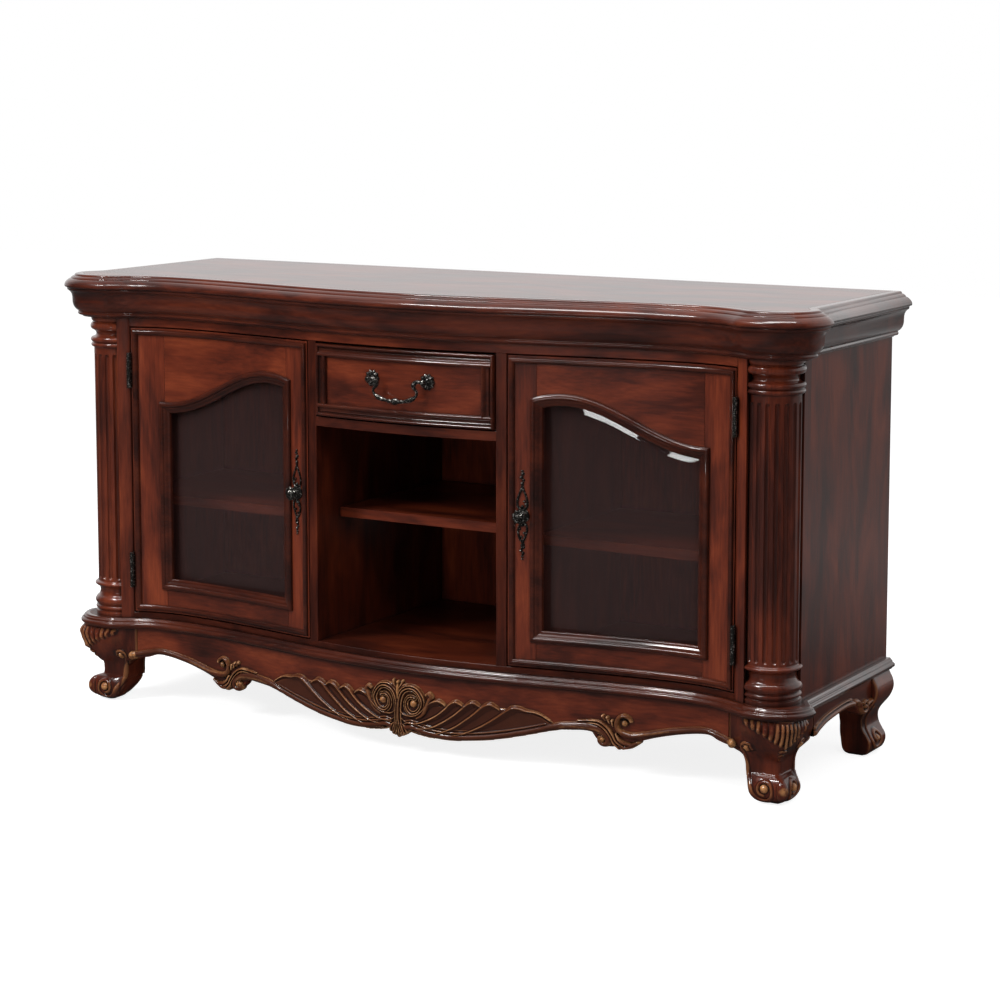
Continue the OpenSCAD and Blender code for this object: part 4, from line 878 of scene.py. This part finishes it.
RY = (lo_y + BACK_Y) / 2 + (BACK_Y - lo_y) / 2 * ring[None, :, 1]
RZ = np.repeat(rows[:, :1], len(ring), 1)
outside = np.clip((RX - (hi_x - 3)) / 2, 0, 1)
rear_eye = domes((217, 31, 6.5, 6))
rear_strokes = rear_eye + beads(
    ([(186, 96), (192, 88), (194, 74), (194, 60), (193, 46), (192, 34), (197, 22), (208, 14), (221, 14), (230, 22),
      (231, 34), (223, 43), (212, 42), (207, 34), (211, 27)], (3.2, 3.6, 4.2, 4.2, 3.4), (2.6, 3.2, 4.2, 4.4, 4)))
RH = relief(RY, RZ, rear_strokes) * outside
add_legs("rear", np.stack([RX + RH, RY, RZ], 2), relief(RY, RZ, rear_eye) / 8 * outside)

# ---- doors
bead_profile = rounded([
    (0, -0.5), (0, 2.2), (1.6, 4.9), (5, 6), (8.4, 4.9), (10, 2.4), (10.2, -0.5)], 1.2, 3)
glass_moulding = rounded([
    (0, -0.5), (0.3, 3.2), (2.2, 5.9), (5, 7.2), (8, 7.4), (9.6, 6), (10.4, 4.4), (12.6, 4.2), (15, 2.6), (17, 0.9),
    (20.6, 0.2), (21.8, -1.6), (22, -6.8), (11.6, -6.8)], 0.8, 2)
# The moulding starts on the frame, this far outside of the opening, and the bead this far inside of the edge
OUTSIDE, MARGIN = 11, 3.5
xs = span(OPEN_IN - OUTSIDE, OPEN_OUT + OUTSIDE, 60)
arch_loop = [(x, OPEN_Z - OUTSIDE) for x in xs]
arch_loop += [(OPEN_OUT + OUTSIDE, z) for z in span(OPEN_Z, float(arch(OPEN_OUT)), 3)[1:-1]]
arch_loop += [(x, float(arch(x)) + OUTSIDE) for x in xs[::-1]]
arch_loop += [(OPEN_IN - OUTSIDE, z) for z in span(float(arch(OPEN_IN)), OPEN_Z, 3)[1:-1]]
xs = span(DOOR_IN + MARGIN, DOOR_OUT - MARGIN, 80)
bead_loop = [(x, DOOR_Z + MARGIN) for x in xs] + [(x, DOOR_TOP - MARGIN) for x in xs[::-1]]
# Glass: its lap over the opening, its bevel, its thickness, and how far its face lies behind the door's.
# The pane is flat, so it runs straight from one side of the opening to the other.
LAP, BEVEL, PANE, PANE_BACK = 6, 30, 4, 17.5
ga, gb = (np.array([x, float(face(x)) + PANE_BACK]) for x in (OPEN_IN, OPEN_OUT))
along = unit(gb - ga)
across = np.array([-along[1], along[0]])


def pane(inset, depth):
    """A loop of the glass outline, drawn in from its edge, at a depth in the glass."""
    xs = span(OPEN_IN - LAP + inset, OPEN_OUT + LAP - inset, 60)
    low = [(x, OPEN_Z - LAP + inset) for x in xs]
    high = [(x, float(arch(x)) + LAP - inset) for x in xs[::-1]]
    return [(*(ga + along * ((x - ga[0]) / along[0]) + across * depth), z) for x, z in low + high]


pane_levels = ((BEVEL, 0), (0.4, 3.1), (0.2, 3.3), (0, 3.4), (0, 3.8), (0.2, PANE), (BEVEL, PANE))
door_parts = {
    "hinge_stile": ([board(OPEN_OUT, DOOR_OUT, DOOR_Z, DOOR_TOP, 0, DOOR_T, 0.5)], wood_door, "cherry_wood"),
    "lock_stile": ([board(DOOR_IN, OPEN_IN, DOOR_Z, DOOR_TOP, 0, DOOR_T, 0.5)], wood_door, "cherry_wood"),
    "top_rail": ([board(OPEN_IN, OPEN_OUT, arch, DOOR_TOP, 0, DOOR_T, 0.5, 3)], wood_x, "cherry_wood"),
    "bottom_rail": ([board(OPEN_IN, OPEN_OUT, DOOR_Z, OPEN_Z, 0, DOOR_T, 0.5)], wood_x, "cherry_wood"),
    "bead": ([on_face(bead_loop, bead_profile)], moulded_dark, "moulding_wood"),
    "moulding": ([on_face(arch_loop, glass_moulding)], moulded_dark, "moulding_wood"),
    "glass": ([lofted([pane(*level) for level in pane_levels])], clear, "glass")}

# Pull: a pierced plate in low relief with a turned knob
loop_up = [(0, 10), (7.5, 15), (9.5, 24), (7, 35), (2.5, 46), (0, 55)]
loop_down = [(0, -10), (7.5, -17), (8.5, -27), (5, -38), (1.5, -46), (-2, -54)]
curl_down = [(0, -12), (-6, -20), (-8, -31), (-4, -43), (2, -50), (3, -57)]
plate_strokes = domes((0, 0, 13.2, 3.4))
for line in (loop_up, [(-x, z) for x, z in loop_up], loop_down, curl_down):
    plate_strokes += beads((line, (2.2, 1.9, 1.7), (2.6, 2.6, 2.2)))
buds = (
    (0, 58, 3), (2, 64, 2.6), (-1.5, 69, 3.2), (1, 75.5, 3), (0, 80.5, 1.8), (0, 16, 3), (6, 21, 2.2), (3.5, 26, 2),
    (0, -58, 2.8), (-2.4, -63, 2.4), (1.2, -67.5, 2.8), (0, -73, 2.4), (0, -78, 1.6), (0, -17, 2.8), (-4.4, -24, 2),
    (3, -31, 2.2), (-2, -38, 2))
plate_strokes += domes(*((*bud, 3.2) for bud in buds))
PU, PV = np.meshgrid(span(-13.5, 13.5, 72), span(-81, 83, 437), indexing="ij")
PH = relief(PU, PV, plate_strokes)
PH = np.where(PH > 0.5, PH + 0.5, 0)
plate = np.stack([PULL_X + PU, face(PULL_X + PU) - np.where(PH > 0, PH, -0.3), PULL_Z + PV], 2)
pts, q, _ = skin(plate, PH, 0.1)
turn = atan2(float(face(PULL_X + 8) - face(PULL_X - 8)), 16)
out_dir = np.array([sin(turn), -cos(turn), 0])
right_dir = np.array([cos(turn), sin(turn), 0])


def at_pull(p):
    """Places points whose third number is the distance out of the door."""
    origin = (PULL_X, float(face(PULL_X)), PULL_Z)
    return origin + p[:, :1] * right_dir + p[:, 1:2] * (0, 0, 1) + p[:, 2:3] * out_dir


knob = catmull([
    (0.02, 0), (6.5, 0.1), (6.8, 2.2), (5.2, 4.6), (4, 7.6), (4.2, 10.6), (7.4, 12.8), (11.2, 15), (12.6, 17.6),
    (11.6, 20), (8.8, 20.6), (7, 19.8), (5.4, 21.8), (3, 23.6), (0.02, 24)], 5)
knob_part = lathe(knob, 72, at_pull, lambda t, h: 0.09 * np.cos(9 * t) * (13 < h < 23.5))

for side, sign in (("left", -1), ("right", 1)):
    body = f"{side}_door"
    turn_over = (lambda parts: parts) if sign > 0 else mirrored
    for key, (parts, mat, slot) in door_parts.items():
        # The bevel of the glass keeps its edge, so that it can mirror a lamp
        add(f"{side}_door_{key}_piece", turn_over(parts), body, mat, [f"{side}_door_{key}"],
            angle=4 if key == "glass" else 30)
    add(f"{side}_door_pull_plate", [(pts * (sign, 1, 1), q, [])] + turn_over([knob_part]), body, metal,
        [f"{side}_door_pull"], angle=60)

# ---- drawer
add("drawer_face", [board(-DRAWER_HALF, DRAWER_HALF, DRAWER_Z, DRAWER_TOP, 0, FRAME_T, 0.5)], "drawer", wood_x,
    ["drawer_front"])
frame_profile = rounded([
    (0, -0.5), (0.1, 3.8), (1.4, 6), (3.6, 6.6), (5.4, 5.2), (6.2, 2.6), (7.4, 1.2), (8.6, 2.2), (9.6, 3.4),
    (10.6, 2.2), (14.4, 2.6), (16.6, 5.4), (18.8, 7.2), (21.2, 7.2), (22.8, 5.4), (23.6, 2.6), (24, -0.5)], 0.7, 2)
xs = span(-DRAWER_HALF, DRAWER_HALF, 80)
add("drawer_frame", [on_face([(x, DRAWER_Z) for x in xs] + [(x, DRAWER_TOP) for x in xs[::-1]], frame_profile)],
    "drawer", moulded_dark, ["drawer_moulding"])
posts = []
for s in (-1, 1):
    base = np.array([s * BAIL_X, float(face(BAIL_X)), BAIL_Z])
    put = lambda p, base=base: base + np.stack([p[:, 0], -p[:, 2], p[:, 1]], 1)
    petals = catmull([(0.02, 5.2), (3, 5), (5, 3), (8, 4.8), (11, 4.4), (13.8, 2.4), (14.2, -0.4)], 4)
    posts.append(lathe(petals, 90, put, lambda t, h: 0.1 * np.cos(10 * t) * (h < 4.6)))
    stem = catmull([(3.4, 2), (3, 7), (3.6, 11), (4.6, 13.6), (4.9, 16.6), (4.4, 19.4), (2.6, 20.9), (0.02, 21.1)], 4)
    posts.append(lathe(stem, 28, put))
add("bail_rosettes", posts, "drawer", metal, ["bail_posts"], angle=60)
hook = [
    (0, 0), (10, 1), (17, -2), (19.5, -8), (16, -13.5), (12.5, -18), (13.5, -24), (20, -30), (31, -34.5), (45, -37),
    (BAIL_X, -37.5)]
path = catmull([(x - BAIL_X, z) for x, z in hook] + [(BAIL_X - x, z) for x, z in hook[-2::-1]], 9)
t = span(0, 1, len(path) - 1)
knots = np.array([
    (0, 3.4), (0.06, 3.6), (0.12, 4.6), (0.17, 3.6), (0.22, 2.6), (0.28, 2.4), (0.33, 3), (0.37, 4.6), (0.41, 4),
    (0.435, 2.6), (0.455, 4), (0.468, 2.8), (0.48, 5), (0.5, 6.6)])
thick = np.interp(np.minimum(t, 1 - t), knots[:, 0], knots[:, 1])
pts = np.stack([path[:, 0], np.full(len(path), 0), path[:, 1]], 1) + (0, BAIL_Y, BAIL_Z)
add("bail_handle", [tube(pts, thick, 20)], "bail", metal, ["bail_pull"], angle=60)

# ---- finish of the carried CAD nodes, by a word in their name
by_node = {"side_panel": wood_side, "divider": painted_shade_walls, "back_panel": painted_light_back, "corner_posts": wood_z,
           "rear_rail": inside_x, "shelf": shelf_wood, "drawer": inside_x, "catches": metal, "leaves": metal}
for name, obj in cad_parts.items():
    if obj.hide_render:
        mat = wood_x
    else:
        mat = next((m for key, m in by_node.items() if key in name), wood_x)
        soft = obj.modifiers.new("soft_edges", "BEVEL")
        soft.width, soft.segments, soft.limit_method, soft.angle_limit = 0.0007, 2, "ANGLE", radians(35)
    obj.data.materials.clear()
    obj.data.materials.append(mat)

# ---- floor, light, camera
g = Graph("studio_floor")
g.feed(g.shader.inputs["Emission Strength"], g.times(g.seen("Is Camera Ray", "Is Transmission Ray"), 0.84))
g.feed(g.shader.inputs["Emission Color"], (1, 1, 1))
# In reflections the floor is dark in front of the piece and bright behind it
g.surface(g.mix(g.seen("Is Glossy Ray"), (0.42, 0.42, 0.42), g.by_y(g.mapped(), 0.4, 2, 0.05, 0.3)), Roughness=0.8,
          Specular_IOR_Level=0)
tiles = span(-9000, 9000, 6)
points = np.stack([*np.meshgrid(tiles, tiles, indexing="ij"), np.full((7, 7), -0.6)], 2)
floor = placed("studio_floor", mesh_of("studio_floor", [(points, quads(7, 7, close_m=False), [])]))
floor.data.materials.append(g.mat)
if floor.data.polygons[0].normal.z < 0:
    floor.data.flip_normals()

world = bpy.data.worlds.new("studio")
bpy.context.scene.world = world
g = Graph("studio", world)
sky, blend = g.nodes["Background"], g.node("ShaderNodeMixShader")
plain = g.node("ShaderNodeBackground", Color=(1, 1, 1), Strength=1)
g.feed(sky.inputs["Color"], (1, 1, 1))
# Reflections see the white backdrop behind the piece and a dim room in front of it
toward = g.node("ShaderNodeTexCoord").outputs["Generated"]
level = g.mix(g.seen("Is Glossy Ray"), 0.42, g.by_y(toward, -0.25, 0.45, 0.035, 0.8), "FLOAT")
g.feed(sky.inputs["Strength"], level)
shown = (g.seen("Is Camera Ray", "Is Transmission Ray"), sky.outputs[0], plain.outputs[0])
for socket, value in zip(blend.inputs, shown):
    g.feed(socket, value)
g.feed(g.nodes["World Output"].inputs["Surface"], blend.outputs[0])


def lamp(name, place, aim, size, watts):
    """A rectangular area lamp, in metres and watts."""
    data = bpy.data.lights.new(name, "AREA")
    data.shape, data.size, data.size_y, data.energy = "RECTANGLE", size[0], size[1], watts
    obj = placed(name, data)
    obj.location = place
    d = np.array(aim) - np.array(place)
    obj.rotation_euler = (atan2(sqrt(d[0] ** 2 + d[1] ** 2), -d[2]), 0, atan2(d[0], -d[1]) + pi)
    return obj


# The key and the fill light the wood but leave no mirror image in the flat top
for light in (lamp("key", (-2.4, -3.6, 3), (0, -0.1, 0.45), (1.1, 1.1), 125),
              lamp("fill", (3.2, -2.4, 3.3), (0.2, 0, 0.4), (2.2, 2.2), 72)):
    light.visible_glossy = False
# High up, so that the mouldings catch it and the top mirrors it only from far above
lamp("spark", (-1.5, -2.3, 3.9), (0, -0.2, 0.6), (1.2, 0.32), 95)
lamp("glint", (-0.21, -3.1, 0.78), (0.41, -0.2, 0.65), (0.36, 0.15), 2.6)
lamp("overhead", (0.4, -0.8, 3.4), (0, -0.1, 0.8), (2.6, 0.5), 60)

# Place, angles and lens come from the fit of the photograph's perspective
cam = bpy.data.cameras.new("camera")
cam_obj = placed("camera", cam)
cam.sensor_width, cam.lens, cam.shift_y = 36, 2.58951 * 36, -0.12
cam_obj.location = (2.51884, -4.13448, 1.27146)
cam_obj.rotation_euler = (radians(90 - 7.1094), 0, radians(30.5344))
bpy.context.scene.camera = cam_obj
bpy.context.scene.view_settings.view_transform = "Standard"
